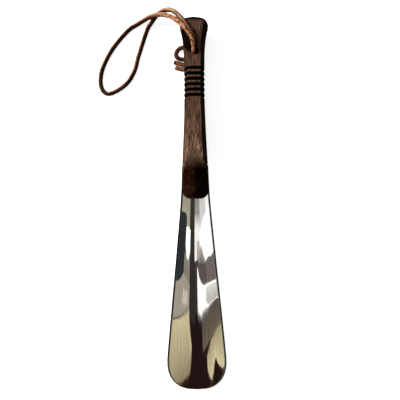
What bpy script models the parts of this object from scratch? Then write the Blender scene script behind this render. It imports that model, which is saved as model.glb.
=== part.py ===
"""A long shoehorn: a faceted wooden handle, a polished steel blade riveted round its foot, and a leather thong.

It lies on its back on a table. Units are metres and +Z is up. The handle points along +Y and the blade's tip
along -Y. The hollow side of the blade faces up. The origin is below the middle of the handle and blade, on
the table: the blade's belly and the thong's knot both rest there.
"""

import math

import bmesh
import bpy

# Whole horn
HORN_LENGTH = 0.300  # top of the handle to the tip of the blade
FIT_GAP = 0.0003  # clearance between two pieces that touch
CUT_OVERRUN = 0.008  # how far a cutter runs past what it cuts

# Blade, a steel trough
BLADE_LENGTH = 0.1863
BLADE_STEEL = 0.0012  # thickness of the sheet
BLADE_EDGE_BEVEL = 0.0003
BLADE_EDGE_ANGLE = 60.0  # degrees, and edges that turn more are eased
BLADE_HEAD_WIDTH = 0.0213  # at the end that is wrapped round the wood
BLADE_TIP_WIDTH = 0.0488
BLADE_HEAD_BELLY = 0.0061  # height of the underside above the table at the head
BLADE_TIP_BELLY = 0.0022  # the same at the tip
BLADE_TIP_ROUND = 0.0300  # length over which the tip's corners are rounded
BLADE_TIP_POWER = 2.45  # 2 is an ellipse, and more is squarer
BLADE_HEAD_WRAP = 48.0  # degrees from the belly to the rim at the head
BLADE_TIP_WRAP = 45.0  # the same at the tip
BLADE_REST_SHARE = 0.70  # where along the blade its belly touches the table
BLADE_WIDTH_SHARES = (  # along the blade, and how far its width has grown
    (0.0, 0.0),
    (0.145, 0.09),
    (0.37, 0.37),
    (0.64, 0.73),
    (0.84, 0.975),
    (0.90, 1.0),
    (1.0, 1.0),
)
BLADE_STATIONS = 26
BLADE_TIP_STATIONS = 11
BLADE_SEGMENTS = 26  # round the trough

# Handle, a wooden bar of eight facets
HANDLE_BACK_HEIGHT = 0.0066  # its flat back above the table, which leaves room for the knot
HANDLE_THICKNESS = 0.0175
HANDLE_WAIST_WIDTH = 0.0165
HANDLE_FOOT_WIDTH = 0.0206  # at the shoulder that the blade butts against
HANDLE_FLARE_WIDTH = 0.0228  # at the top end
HANDLE_FLARE_RISE = 0.0018  # how much the top end grows to the front and to the back
HANDLE_WAIST_SHARES = (0.44, 0.70)  # where the waist starts and ends, from shoulder to top
HANDLE_FLARED_SHARE = 0.974  # where the flare has reached its full width
HANDLE_FOOT_POWER = 1.45  # how quickly the foot narrows to the waist
HANDLE_FLARE_POWER = 2.4
HANDLE_FLAT_SHARE = 0.64  # front and back flats, of the width
HANDLE_SIDE_SHARE = 0.12  # upright side facets, of the thickness
HANDLE_CORNER_RADIUS = 0.0007
HANDLE_END_RADIUS = 0.0018
HANDLE_END_STEPS = 4
HANDLE_CROWN = 0.0022  # how far the top end's sides lie below its middle
HANDLE_BULGE_SHARE = 0.11  # how far the slanted facets swell there, of their distance from the axis
HANDLE_CROWN_RUN = 0.014  # length over which crown and bulge set in
HANDLE_ROUND_BACK = 0.022  # length above the shoulder over which the back turns round
HANDLE_STATIONS = 22
HANDLE_SMOOTH_ANGLE = 24.0  # degrees, and facets that meet at more stay sharp

# Nose, the handle's foot that slopes down into the blade
NOSE_LENGTH = 0.0276  # past the shoulder
NOSE_RUN = 0.0336  # from the crease in the front flat to the nose's end
NOSE_TIP_THICKNESS = 0.0012
NOSE_ROUND_SHARE = 0.2  # how much of the slope is a round, the rest is straight
NOSE_STEPS = 18
NOSE_MARGIN = 0.004  # rough wood past the nose, which its cutter takes off

# Rings cut round the handle
RING_COUNT = 6
RING_PITCH = 0.0042
RING_WIDTH = 0.0023
RING_DEPTH = 0.0006
RING_FIRST_BELOW_TOP = 0.0391
RING_STEPS = 4

# Rivets through the nose and the blade
PIN_DIAMETER = 0.0018
PIN_OFFSET = -0.0016  # the holes sit a little left of the middle
PIN_BELOW_SHOULDER = 0.0060
PIN_SPACING = 0.0125
PIN_PROUD = 0.0002
PIN_HEAD_DIAMETER = 0.0042
PIN_HEAD_HEIGHT = 0.0010
PIN_SIDES = 24
PIN_DOME_STEPS = 5
PIN_SEAM = 0.00001  # points of the turned profile that are closer than this become one

# Thong
CORD_DIAMETER = 0.0028
BORE_BELOW_TOP = 0.0259
BORE_OFFSET = 0.0004  # the bore sits a little right of the middle
BORE_DIAMETER = 2 * CORD_DIAMETER + 3 * FIT_GAP
BORE_SIDES = 32
LOOP_POINTS = 79
KNOT_POINTS = 32
TAIL_POINTS = 15
LOOP_ROUTE = (
    (-0.00054, 0.12284, 0.0080),
    (-0.00054, 0.12284, 0.0232),
    (-0.00055, 0.1233, 0.0260),
    (-0.0005, 0.1251, 0.0285),
    (-0.0009, 0.1280, 0.0301),
    (-0.0018, 0.1312, 0.0308),
    (-0.0048, 0.1361, 0.0309),
    (-0.0091, 0.1418, 0.0292),
    (-0.0145, 0.1481, 0.0254),
    (-0.0209, 0.1535, 0.0200),
    (-0.0275, 0.1570, 0.0147),
    (-0.0338, 0.1588, 0.0093),
    (-0.0403, 0.1584, 0.0047),
    (-0.0474, 0.1557, 0.0021),
    (-0.0557, 0.1506, 0.0014),
    (-0.0679, 0.1365, 0.0014),
    (-0.0760, 0.1221, 0.0014),
    (-0.0790, 0.1100, 0.0014),
    (-0.0774, 0.1011, 0.0014),
    (-0.0723, 0.0979, 0.0014),
    (-0.0642, 0.1010, 0.0014),
    (-0.0561, 0.1074, 0.0014),
    (-0.0504, 0.1170, 0.0014),
    (-0.0470, 0.1290, 0.0014),
    (-0.0399, 0.1501, 0.0016),
    (-0.0363, 0.1553, 0.0032),
    (-0.0326, 0.1586, 0.0058),
    (-0.0286, 0.1607, 0.0094),
    (-0.0243, 0.1608, 0.0138),
    (-0.0197, 0.1592, 0.0178),
    (-0.0152, 0.1555, 0.0218),
    (-0.0110, 0.1502, 0.0254),
    (-0.0066, 0.1441, 0.0278),
    (-0.0026, 0.1380, 0.0288),
    (0.0003, 0.1331, 0.0288),
    (0.0016, 0.1288, 0.0276),
    (0.0015, 0.1266, 0.0258),
    (0.00135, 0.1256, 0.0240),
    (0.00134, 0.12535, 0.0214),
    (0.00134, 0.12535, 0.0080),
)
KNOT_ROUTE = (
    (0.00134, 0.12535, 0.0076),
    (0.00125, 0.1255, 0.0064),
    (0.0005, 0.1265, 0.0050),
    (-0.0014, 0.1288, 0.0046),
    (-0.0044, 0.1321, 0.0043),
    (-0.0077, 0.1347, 0.0038),
    (-0.0113, 0.1351, 0.0028),
    (-0.0140, 0.1335, 0.0021),
    (-0.0153, 0.1308, 0.0017),
    (-0.0149, 0.1282, 0.0017),
    (-0.0126, 0.1266, 0.0017),
    (-0.0086, 0.1260, 0.0016),
    (-0.0040, 0.1266, 0.0014),
    (0.0004, 0.1271, 0.0014),
    (0.0042, 0.1264, 0.0014),
    (0.0066, 0.1239, 0.0014),
    (0.0064, 0.1208, 0.0014),
    (0.0037, 0.1187, 0.0014),
    (-0.0004, 0.1188, 0.0014),
    (-0.0045, 0.1203, 0.0014),
    (-0.0090, 0.1216, 0.0016),
    (-0.0132, 0.1226, 0.0017),
    (-0.0172, 0.1238, 0.0017),
)
TAIL_ROUTE = (
    (-0.00054, 0.12284, 0.0076),
    (-0.00045, 0.1227, 0.0064),
    (0.0002, 0.1216, 0.0050),
    (0.0008, 0.1195, 0.0047),
    (0.0003, 0.1173, 0.0047),
    (-0.0022, 0.1157, 0.0046),
    (-0.0056, 0.1158, 0.0040),
    (-0.0088, 0.1171, 0.0029),
    (-0.0122, 0.1182, 0.0020),
    (-0.0160, 0.1191, 0.0017),
)

# Places worked out from the sizes above
TOP_Y = HORN_LENGTH / 2
TIP_Y = -HORN_LENGTH / 2
BLADE_HEAD_Y = TIP_Y + BLADE_LENGTH
SHOULDER_Y = BLADE_HEAD_Y + FIT_GAP
NOSE_Y = SHOULDER_Y - NOSE_LENGTH
CREASE_Y = NOSE_Y + NOSE_RUN
HANDLE_LENGTH = TOP_Y - SHOULDER_Y
HANDLE_MIDDLE_HEIGHT = HANDLE_BACK_HEIGHT + HANDLE_THICKNESS / 2
HANDLE_FRONT_HEIGHT = HANDLE_BACK_HEIGHT + HANDLE_THICKNESS
BORE_Y = TOP_Y - BORE_BELOW_TOP


# Small helpers


def clear_scene():
    for obj in list(bpy.data.objects):
        bpy.data.objects.remove(obj, do_unlink=True)


def new_collection(name):
    collection = bpy.data.collections.new(name)
    bpy.context.scene.collection.children.link(collection)
    return collection


def material(name, colour, roughness, metallic=0.0):
    made = bpy.data.materials.new(name)
    made.use_nodes = True
    shader = made.node_tree.nodes["Principled BSDF"]
    shader.inputs["Base Color"].default_value = (*colour, 1.0)
    shader.inputs["Roughness"].default_value = roughness
    shader.inputs["Metallic"].default_value = metallic
    return made


def add_object(name, data, collection, finish=None):
    obj = bpy.data.objects.new(name, data)
    collection.objects.link(obj)
    if finish is not None:
        data.materials.append(finish)
    return obj


def mesh_from(name, build):
    """A mesh that build(bm) fills."""
    mesh = bpy.data.meshes.new(name)
    bm = bmesh.new()
    build(bm)
    bmesh.ops.recalc_face_normals(bm, faces=bm.faces)
    bm.to_mesh(mesh)
    bm.free()
    return mesh


def make_cutter(obj):
    obj.hide_render = True
    obj.display_type = "WIRE"
    return obj


def cut(target, cutter):
    modifier = target.modifiers.new("cut " + cutter.name, "BOOLEAN")
    modifier.operation = "DIFFERENCE"
    modifier.solver = "EXACT"
    modifier.object = cutter


def smooth_by_angle(mesh, degrees):
    mesh.shade_smooth()
    mesh.set_sharp_from_angle(angle=math.radians(degrees))


def smoothstep(share):
    share = min(max(share, 0.0), 1.0)
    return share * share * (3 - 2 * share)


def from_shares(shares, at):
    """A smooth value between the rows of a table of shares."""
    rows = [shares[0], *shares, shares[-1]]
    for before, low, high, after in zip(rows, rows[1:], rows[2:], rows[3:]):
        if at <= high[0] or high is rows[-2]:
            break
    span = high[0] - low[0]
    t = (at - low[0]) / span
    slope_low = (high[1] - before[1]) / (high[0] - before[0]) * span
    slope_high = (after[1] - low[1]) / (after[0] - low[0]) * span
    return (
        (2 * t**3 - 3 * t**2 + 1) * low[1]
        + (t**3 - 2 * t**2 + t) * slope_low
        + (3 * t**2 - 2 * t**3) * high[1]
        + (t**3 - t**2) * slope_high
    )


def loft(bm, rings):
    """A closed skin through rings of as many points each, with flat ends."""
    rows = [[bm.verts.new(point) for point in ring] for ring in rings]
    for low, high in zip(rows, rows[1:]):
        for i in range(len(low)):
            j = (i + 1) % len(low)
            bm.faces.new((low[i], low[j], high[j], high[i]))
    bm.faces.new(rows[0])
    bm.faces.new(rows[-1])


def prism(bm, outline, half_width):
    """A side outline of (y, z) points, extruded both ways along X."""
    face = bm.faces.new([bm.verts.new((-half_width, y, z)) for y, z in outline])
    made = bmesh.ops.extrude_face_region(bm, geom=[face])
    moved = [item for item in made["geom"] if isinstance(item, bmesh.types.BMVert)]
    bmesh.ops.translate(bm, verts=moved, vec=(2 * half_width, 0, 0))


def upright_cylinder(name, diameter, sides, place, low, high, collection):
    def build(bm):
        made = bmesh.ops.create_cone(
            bm,
            cap_ends=True,
            segments=sides,
            radius1=diameter / 2,
            radius2=diameter / 2,
            depth=high - low,
        )
        bmesh.ops.translate(bm, verts=made["verts"], vec=(*place, (low + high) / 2))

    return make_cutter(add_object(name, mesh_from(name, build), collection))


# Blade


def blade_share(y):
    """0 at the blade's head and 1 at its tip."""
    return (BLADE_HEAD_Y - y) / BLADE_LENGTH


def blade_half_width(y):
    """Half the width before the tip's corners are rounded off."""
    grown = from_shares(BLADE_WIDTH_SHARES, min(max(blade_share(y), 0.0), 1.0))
    return (BLADE_HEAD_WIDTH + (BLADE_TIP_WIDTH - BLADE_HEAD_WIDTH) * grown) / 2


def blade_wrap(y):
    """The angle from the belly to the rim, in radians."""
    share = smoothstep(blade_share(y) / (1 - BLADE_TIP_ROUND / BLADE_LENGTH))
    return math.radians(BLADE_HEAD_WRAP + (BLADE_TIP_WRAP - BLADE_HEAD_WRAP) * share)


def blade_radius(y):
    """Radius of the trough's outside."""
    return blade_half_width(y) / math.sin(blade_wrap(y))


def blade_belly(y):
    """Height of the trough's underside: down from the head to the table, and up to the tip."""
    share = blade_share(y)
    if share < BLADE_REST_SHARE:
        return BLADE_HEAD_BELLY * (1 - smoothstep(share / BLADE_REST_SHARE))
    return BLADE_TIP_BELLY * ((share - BLADE_REST_SHARE) / (1 - BLADE_REST_SHARE)) ** 2


def trough_arc(y, half_width, inset):
    """Points across the trough at y, from its left rim to its right one, on its outside or inset into it."""
    radius = blade_radius(y)
    reach = math.asin(min(half_width / radius, 1.0))
    centre = blade_belly(y) + radius
    angles = [reach * (2 * i / BLADE_SEGMENTS - 1) for i in range(BLADE_SEGMENTS + 1)]
    return [
        ((radius - inset) * math.sin(a), y, centre - (radius - inset) * math.cos(a))
        for a in angles
    ]


def blade_rows():
    """Rows of points from the head to the tip, whose corners are rounded as part of a squared ellipse."""
    round_y = TIP_Y + BLADE_TIP_ROUND
    rows = []
    for i in range(BLADE_STATIONS):
        y = BLADE_HEAD_Y + (round_y - BLADE_HEAD_Y) * i / BLADE_STATIONS
        rows.append(trough_arc(y, blade_half_width(y), 0))
    for i in range(BLADE_TIP_STATIONS):
        turn = math.pi / 2 * i / BLADE_TIP_STATIONS
        y = round_y - BLADE_TIP_ROUND * math.sin(turn) ** (2 / BLADE_TIP_POWER)
        half_width = blade_half_width(y) * math.cos(turn) ** (2 / BLADE_TIP_POWER)
        rows.append(trough_arc(y, half_width, 0))
    return rows


def make_blade(parts, finish):
    def build(bm):
        rows = [[bm.verts.new(point) for point in row] for row in blade_rows()]
        for low, high in zip(rows, rows[1:]):
            for i in range(BLADE_SEGMENTS):
                bm.faces.new((low[i], low[i + 1], high[i + 1], high[i]))
        tip = bm.verts.new((0, TIP_Y, blade_belly(TIP_Y)))
        for i in range(BLADE_SEGMENTS):
            bm.faces.new((rows[-1][i], rows[-1][i + 1], tip))

    mesh = mesh_from("blade", build)
    if mesh.polygons[0].normal.z > 0:
        mesh.flip_normals()
    mesh.shade_smooth()
    blade = add_object("blade", mesh, parts, finish)
    sheet = blade.modifiers.new("steel sheet", "SOLIDIFY")
    sheet.thickness = BLADE_STEEL
    sheet.offset = -1
    sheet.use_even_offset = True
    edge = blade.modifiers.new("eased edges", "BEVEL")
    edge.width = BLADE_EDGE_BEVEL
    edge.segments = 2
    edge.limit_method = "ANGLE"
    edge.angle_limit = math.radians(BLADE_EDGE_ANGLE)
    return blade


# Handle


def handle_grown(y):
    """How far the foot and the flare have grown from the waist at y, each from 0 to 1, more past the shoulder."""
    share = (y - SHOULDER_Y) / HANDLE_LENGTH
    waist_low, waist_high = HANDLE_WAIST_SHARES
    foot = max(1 - share / waist_low, 0.0) ** HANDLE_FOOT_POWER
    flared = (share - waist_high) / (HANDLE_FLARED_SHARE - waist_high)
    flare = min(max(flared, 0.0), 1.0) ** HANDLE_FLARE_POWER
    return foot, flare


def facet_corners(half_width, half_height):
    """The eight corners of the section, turning from +X towards +Z."""
    flat = half_width * HANDLE_FLAT_SHARE
    side = half_height * HANDLE_SIDE_SHARE
    quarter = [(half_width, side), (flat, half_height)]
    left = [(-x, z) for x, z in reversed(quarter)]
    upper = quarter + left
    return upper + [(-x, -z) for x, z in upper]


def towards(start, end, distance):
    length = math.dist(start, end)
    return tuple(a + (b - a) * distance / length for a, b in zip(start, end))


def facet_ring(half_width, half_height, bulge):
    """The section with each corner eased by three points, and a point in the middle of each facet.

    The middle points of the slanted facets, which are every second one, are drawn out by a share of bulge.
    """
    corners = facet_corners(half_width, half_height)
    ring = []
    for i, corner in enumerate(corners):
        before = towards(corner, corners[i - 1], HANDLE_CORNER_RADIUS)
        after = towards(corner, corners[(i + 1) % len(corners)], HANDLE_CORNER_RADIUS)
        eased = tuple((b + 2 * c + a) / 4 for b, c, a in zip(before, corner, after))
        following = corners[(i + 1) % len(corners)]
        swell = 1 + bulge * (i % 2 == 0)
        middle = tuple(swell * (c + f) / 2 for c, f in zip(corner, following))
        ring += [before, eased, after, middle]
    return ring


def rounded_back(ring, half_width, half_height, amount):
    """The section with its lower half drawn out towards half an ellipse."""
    moved = []
    for x, z in ring:
        if z < 0:
            turn = math.atan2(z / half_height, x / half_width)
            x += amount * (half_width * math.cos(turn) - x)
            z += amount * (half_height * math.sin(turn) - z)
        moved.append((x, z))
    return moved


def handle_ring(y, inset):
    """The handle's section at y, made smaller all round by inset."""
    foot, flare = handle_grown(y)
    width = (
        HANDLE_WAIST_WIDTH
        + (HANDLE_FOOT_WIDTH - HANDLE_WAIST_WIDTH) * foot
        + (HANDLE_FLARE_WIDTH - HANDLE_WAIST_WIDTH) * flare
    )
    half_width = width / 2 - inset
    half_height = HANDLE_THICKNESS / 2 + HANDLE_FLARE_RISE * flare - inset
    amount = smoothstep(1 - (y - SHOULDER_Y) / HANDLE_ROUND_BACK)
    at_top = smoothstep(1 - (TOP_Y - y) / HANDLE_CROWN_RUN)
    ring = facet_ring(half_width, half_height, HANDLE_BULGE_SHARE * at_top)
    ring = rounded_back(ring, half_width, half_height, amount)
    crown = HANDLE_CROWN * at_top
    return [
        (x, y - crown * (x / half_width) ** 2, HANDLE_MIDDLE_HEIGHT + z)
        for x, z in ring
    ]


def ring_middles():
    """The places of the cut rings, from the top down."""
    first = TOP_Y - RING_FIRST_BELOW_TOP
    return [first - i * RING_PITCH for i in range(RING_COUNT)]


def handle_stations():
    """Pairs of place and inset along the handle: its plain length, the cut rings and the eased top end."""
    low = NOSE_Y - NOSE_MARGIN
    high = TOP_Y - HANDLE_END_RADIUS
    plain = [low + (high - low) * i / HANDLE_STATIONS for i in range(HANDLE_STATIONS)]
    plain.append(SHOULDER_Y)
    rings = ring_middles()
    top_ring, last_ring = rings[0] + RING_WIDTH, rings[-1] - RING_WIDTH
    stations = [(y, 0.0) for y in plain if not last_ring < y < top_ring]
    for middle in rings:
        for i in range(2 * RING_STEPS + 1):
            turn = math.pi * i / (2 * RING_STEPS)
            y = middle - RING_WIDTH / 2 * math.cos(turn)
            stations.append((y, RING_DEPTH * math.sin(turn)))
    for i in range(HANDLE_END_STEPS + 1):
        turn = math.pi / 2 * i / HANDLE_END_STEPS
        y = high + HANDLE_END_RADIUS * math.sin(turn)
        stations.append((y, HANDLE_END_RADIUS * (1 - math.cos(turn))))
    return sorted(stations)


def nose_height(y):
    """Height of the sloping front of the nose."""
    share = min((CREASE_Y - y) / NOSE_RUN, 1.0)
    rounded = 1 - math.sqrt(1 - share * share)
    drop = (1 - NOSE_ROUND_SHARE) * share + NOSE_ROUND_SHARE * rounded
    end = blade_belly(NOSE_Y) + BLADE_STEEL + FIT_GAP + NOSE_TIP_THICKNESS
    return HANDLE_FRONT_HEIGHT + (end - HANDLE_FRONT_HEIGHT) * drop


def make_slope_cutter(cutters):
    """Takes off all that lies in front of the nose's slope and past its end."""
    above = HANDLE_FRONT_HEIGHT + CUT_OVERRUN
    slope = [CREASE_Y - NOSE_RUN * i / NOSE_STEPS for i in range(NOSE_STEPS + 1)]
    outline = [(y, nose_height(y)) for y in slope]
    outline += [(NOSE_Y, -CUT_OVERRUN), (NOSE_Y - CUT_OVERRUN, -CUT_OVERRUN)]
    outline += [(NOSE_Y - CUT_OVERRUN, above), (CREASE_Y + CUT_OVERRUN / 4, above)]
    mesh = mesh_from("slope_cutter", lambda bm: prism(bm, outline, HANDLE_FOOT_WIDTH))
    return make_cutter(add_object("slope_cutter", mesh, cutters))


def make_seat_cutter(cutters):
    """Takes off the wood that would stand where the blade is: a block less the room inside the trough."""
    above = HANDLE_FRONT_HEIGHT + CUT_OVERRUN
    inset = BLADE_STEEL + FIT_GAP
    low, high = NOSE_Y - CUT_OVERRUN, SHOULDER_Y + CUT_OVERRUN

    def room(bm):
        rings = []
        for i in range(BLADE_STATIONS + 1):
            y = low + (high - low) * i / BLADE_STATIONS
            arc = trough_arc(y, blade_half_width(y), inset)
            lid = above + CUT_OVERRUN
            rings.append(arc + [(arc[-1][0], y, lid), (arc[0][0], y, lid)])
        loft(bm, rings)

    inner = make_cutter(
        add_object("trough_room", mesh_from("trough_room", room), cutters)
    )
    block = [
        (SHOULDER_Y, -CUT_OVERRUN),
        (SHOULDER_Y, above),
        (low + CUT_OVERRUN / 4, above),
        (low + CUT_OVERRUN / 4, -CUT_OVERRUN),
    ]
    mesh = mesh_from("seat_cutter", lambda bm: prism(bm, block, HANDLE_FOOT_WIDTH))
    outer = make_cutter(add_object("seat_cutter", mesh, cutters))
    cut(outer, inner)
    return outer


def make_handle(parts, finish, cutters):
    rings = [handle_ring(y, inset) for y, inset in handle_stations()]
    mesh = mesh_from("handle", lambda bm: loft(bm, rings))
    smooth_by_angle(mesh, HANDLE_SMOOTH_ANGLE)
    handle = add_object("handle", mesh, parts, finish)
    for cutter in cutters:
        cut(handle, cutter)
    return handle


def make_bore_cutter(cutters):
    low = -CUT_OVERRUN
    high = HANDLE_FRONT_HEIGHT + CUT_OVERRUN
    place = (BORE_OFFSET, BORE_Y)
    return upright_cylinder(
        "bore_cutter", BORE_DIAMETER, BORE_SIDES, place, low, high, cutters
    )


# Rivets


def pin_places():
    first = SHOULDER_Y - PIN_BELOW_SHOULDER
    return {"rivet_upper": first, "rivet_lower": first - PIN_SPACING}


def make_pin_cutters(cutters):
    low = -CUT_OVERRUN
    high = HANDLE_FRONT_HEIGHT + CUT_OVERRUN
    return [
        upright_cylinder(
            name + "_hole",
            PIN_DIAMETER + 2 * FIT_GAP,
            PIN_SIDES,
            (PIN_OFFSET, y),
            low,
            high,
            cutters,
        )
        for name, y in pin_places().items()
    ]


def make_pin(name, y, parts, finish):
    """A rivet: a domed head under the blade, a shank, and an end that shows on the nose's slope."""
    across = PIN_OFFSET / blade_radius(y)
    underside = blade_belly(y) + blade_radius(y) * (1 - math.cos(across))
    seat = underside - FIT_GAP - PIN_OFFSET**2 / blade_radius(y)
    top = nose_height(y) + PIN_PROUD
    head, shank = PIN_HEAD_DIAMETER / 2, PIN_DIAMETER / 2
    ease = PIN_PROUD
    dome = [math.pi / 2 * i / PIN_DOME_STEPS for i in range(PIN_DOME_STEPS + 1)]
    profile = [(0, top), (shank - ease, top), (shank, top - ease), (shank, seat)]
    profile += [
        (head * math.cos(a), seat - PIN_HEAD_HEIGHT * math.sin(a)) for a in dome
    ]

    def build(bm):
        points = [bm.verts.new((x, 0, z)) for x, z in profile]
        for first, second in zip(points, points[1:]):
            bm.edges.new((first, second))

    mesh = bpy.data.meshes.new(name)
    bm = bmesh.new()
    build(bm)
    bm.to_mesh(mesh)
    bm.free()
    pin = add_object(name, mesh, parts, finish)
    pin.location = (PIN_OFFSET, y, 0)
    turn = pin.modifiers.new("turned", "SCREW")
    turn.steps = turn.render_steps = PIN_SIDES
    turn.use_merge_vertices = True
    turn.merge_threshold = PIN_SEAM
    turn.use_smooth_shade = True
    return pin


# Thong


def smooth_route(points, count):
    """Points on the smooth curve through a route, closer together where the route's own points are."""
    rows = [points[0], *points, points[-1]]
    fine = []
    for k in range(count):
        along = k / (count - 1) * (len(points) - 1)
        i = min(int(along), len(points) - 2)
        t = along - i
        fine.append(
            tuple(
                b
                + t * (c - a) / 2
                + t * t * (2 * a - 5 * b + 4 * c - d) / 2
                + t**3 * (3 * b - a - 3 * c + d) / 2
                for a, b, c, d in zip(*rows[i : i + 4])
            )
        )
    return fine


def walked(points):
    """The length along the points up to each of them."""
    lengths = [0.0]
    for first, second in zip(points, points[1:]):
        lengths.append(lengths[-1] + math.dist(first, second))
    return lengths


def least_gap(route, other=None):
    """The smallest gap between a strand and another, or between stretches of itself three diameters apart."""
    first = smooth_route(route, 8 * len(route))
    along = walked(first)
    second = smooth_route(other, 8 * len(other)) if other else first
    gaps = [
        math.dist(p, q) - CORD_DIAMETER
        for i, p in enumerate(first)
        for j, q in enumerate(second)
        if other or along[j] - along[i] > 3 * CORD_DIAMETER
    ]
    return min(gaps)


def make_strand(name, points, parts, finish):
    curve = bpy.data.curves.new(name, "CURVE")
    curve.dimensions = "3D"
    curve.bevel_depth = CORD_DIAMETER / 2
    curve.bevel_resolution = 2
    curve.use_fill_caps = True
    spline = curve.splines.new("POLY")
    spline.points.add(len(points) - 1)
    for slot, point in zip(spline.points, points):
        slot.co = (*point, 1.0)
    return add_object(name, curve, parts, finish)


def make_thong(parts, finish):
    """The loop that goes out of the bore and back, and the knot behind it: one turn with its tail, and the other tail."""
    make_strand("thong_loop", smooth_route(LOOP_ROUTE, LOOP_POINTS), parts, finish)
    make_strand("thong_knot", smooth_route(KNOT_ROUTE, KNOT_POINTS), parts, finish)
    make_strand("thong_tail", smooth_route(TAIL_ROUTE, TAIL_POINTS), parts, finish)
    length = walked(smooth_route(LOOP_ROUTE, 8 * LOOP_POINTS))[-1]
    print(f"loop {length:.4f} m, least gap to itself {least_gap(LOOP_ROUTE):.5f} m")
    print(f"knot, least gap to itself {least_gap(KNOT_ROUTE):.5f} m")
    print(f"knot to tail, least gap {least_gap(KNOT_ROUTE, TAIL_ROUTE):.5f} m")


def main():
    clear_scene()
    parts = new_collection("shoehorn")
    cutters = new_collection("cutters")
    wood = material("dark stained wood", (0.085, 0.052, 0.036), 0.5)
    steel = material("polished steel", (0.72, 0.71, 0.69), 0.16, 1.0)
    rivet = material("rivet steel", (0.62, 0.60, 0.58), 0.35, 1.0)
    leather = material("tan leather", (0.36, 0.17, 0.085), 0.65)

    holes = make_pin_cutters(cutters)
    blade = make_blade(parts, steel)
    for hole in holes:
        cut(blade, hole)
    seat = make_seat_cutter(cutters)
    slope = make_slope_cutter(cutters)
    bore = make_bore_cutter(cutters)
    make_handle(parts, wood, [seat, slope, bore, *holes])
    for name, y in pin_places().items():
        make_pin(name, y, parts, rivet)
    make_thong(parts, leather)


main()
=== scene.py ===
"""Dresses a long shoehorn: a polished steel blade riveted to a faceted wooden handle, with a leather thong.

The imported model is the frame. Lengths are in metres. +Y runs along the horn to the handle's top, +X is to the
right as seen from above, and +Z is up from the table that the horn lies on.
"""

import logging
import math
from collections.abc import Callable
from dataclasses import dataclass, field
from enum import Enum

import bmesh
import bpy
import numpy as np
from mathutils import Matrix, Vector, noise


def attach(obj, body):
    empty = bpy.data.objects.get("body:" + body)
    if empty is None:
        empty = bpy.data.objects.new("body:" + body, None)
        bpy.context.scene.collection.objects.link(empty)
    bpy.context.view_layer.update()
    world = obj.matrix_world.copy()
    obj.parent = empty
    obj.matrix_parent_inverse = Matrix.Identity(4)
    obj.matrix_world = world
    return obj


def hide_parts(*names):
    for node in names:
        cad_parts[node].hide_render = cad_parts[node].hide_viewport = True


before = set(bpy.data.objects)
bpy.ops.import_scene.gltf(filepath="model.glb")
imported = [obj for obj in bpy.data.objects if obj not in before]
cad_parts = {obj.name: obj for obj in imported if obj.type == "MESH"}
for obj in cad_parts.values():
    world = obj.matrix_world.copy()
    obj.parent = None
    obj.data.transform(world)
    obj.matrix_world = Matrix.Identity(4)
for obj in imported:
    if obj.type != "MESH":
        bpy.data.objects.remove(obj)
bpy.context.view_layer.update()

LOG = logging.getLogger("shoehorn")
BODY = "root"

Point = tuple[float, float, float]
Tint = tuple[float, float, float]
Edge = tuple[tuple[float, float], ...]
Colour = tuple[float, float, float, float]
Ramp = tuple[float, ...]
Value = "bpy.types.NodeSocket | float | tuple"


class Slot(Enum):
    """The record's material slots."""

    STEEL = "polished_steel"
    WOOD = "dark_wood"
    RIVET = "rivet_steel"
    LEATHER = "tan_leather"


# Small tools of the bench


def smoothstep(share: float) -> float:
    """A soft step from 0 to 1."""
    share = min(max(share, 0.0), 1.0)
    return share * share * (3 - 2 * share)


def ramp(past: np.ndarray, fade: float) -> np.ndarray:
    """0 where nothing is past the start, and 1 from fade on, in a straight line between."""
    return np.clip(past / fade, 0, 1)


def deselect() -> None:
    """Leaves nothing selected, and no object in edit mode."""
    if bpy.context.object and bpy.context.object.mode != "OBJECT":
        bpy.ops.object.mode_set(mode="OBJECT")
    bpy.ops.object.select_all(action="DESELECT")


def take(piece: bpy.types.Object) -> None:
    """Makes a piece the only selected one, and the active one.

    Args:
        piece: The piece to work on.
    """
    deselect()
    piece.select_set(True)
    bpy.context.view_layer.objects.active = piece


def fresh(name: str) -> bpy.types.Object:
    """Names the primitive that was just added, and brings its place into its mesh.

    Args:
        name: The piece's name.

    Returns:
        The piece, with its origin at the frame's.
    """
    piece = bpy.context.object
    piece.name = piece.data.name = name
    bpy.ops.object.transform_apply(location=True, rotation=True, scale=True)
    return piece


def lay_out(piece: bpy.types.Object, points: list[Point] | np.ndarray) -> None:
    """Puts a piece's vertices at the given places, in order.

    Args:
        piece: The piece, in object mode.
        points: One place for each vertex.
    """
    piece.data.vertices.foreach_set("co", np.array(points, dtype=float).ravel())
    piece.data.update()


def apply(piece: bpy.types.Object, kind: str, **settings: object) -> None:
    """Adds a modifier to a piece and applies it.

    Args:
        piece: The piece.
        kind: The modifier's type.
        **settings: The modifier's settings.
    """
    take(piece)
    modifier = piece.modifiers.new(kind.lower(), kind)
    for name, value in settings.items():
        setattr(modifier, name, value)
    bpy.ops.object.modifier_apply(modifier=modifier.name)


def carve(piece: bpy.types.Object, cutter: bpy.types.Object) -> None:
    """Takes another piece away from a piece, and uses it up.

    Args:
        piece: The piece to cut.
        cutter: A closed solid.
    """
    apply(piece, "BOOLEAN", operation="DIFFERENCE", solver="EXACT", object=cutter)
    bpy.data.objects.remove(cutter, do_unlink=True)


def face_outwards(piece: bpy.types.Object) -> None:
    """Turns all the faces of a closed piece outwards.

    Args:
        piece: The closed piece.
    """
    take(piece)
    bpy.ops.object.mode_set(mode="EDIT")
    bpy.ops.mesh.select_all(action="SELECT")
    bpy.ops.mesh.normals_make_consistent(inside=False)
    bpy.ops.object.mode_set(mode="OBJECT")


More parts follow.
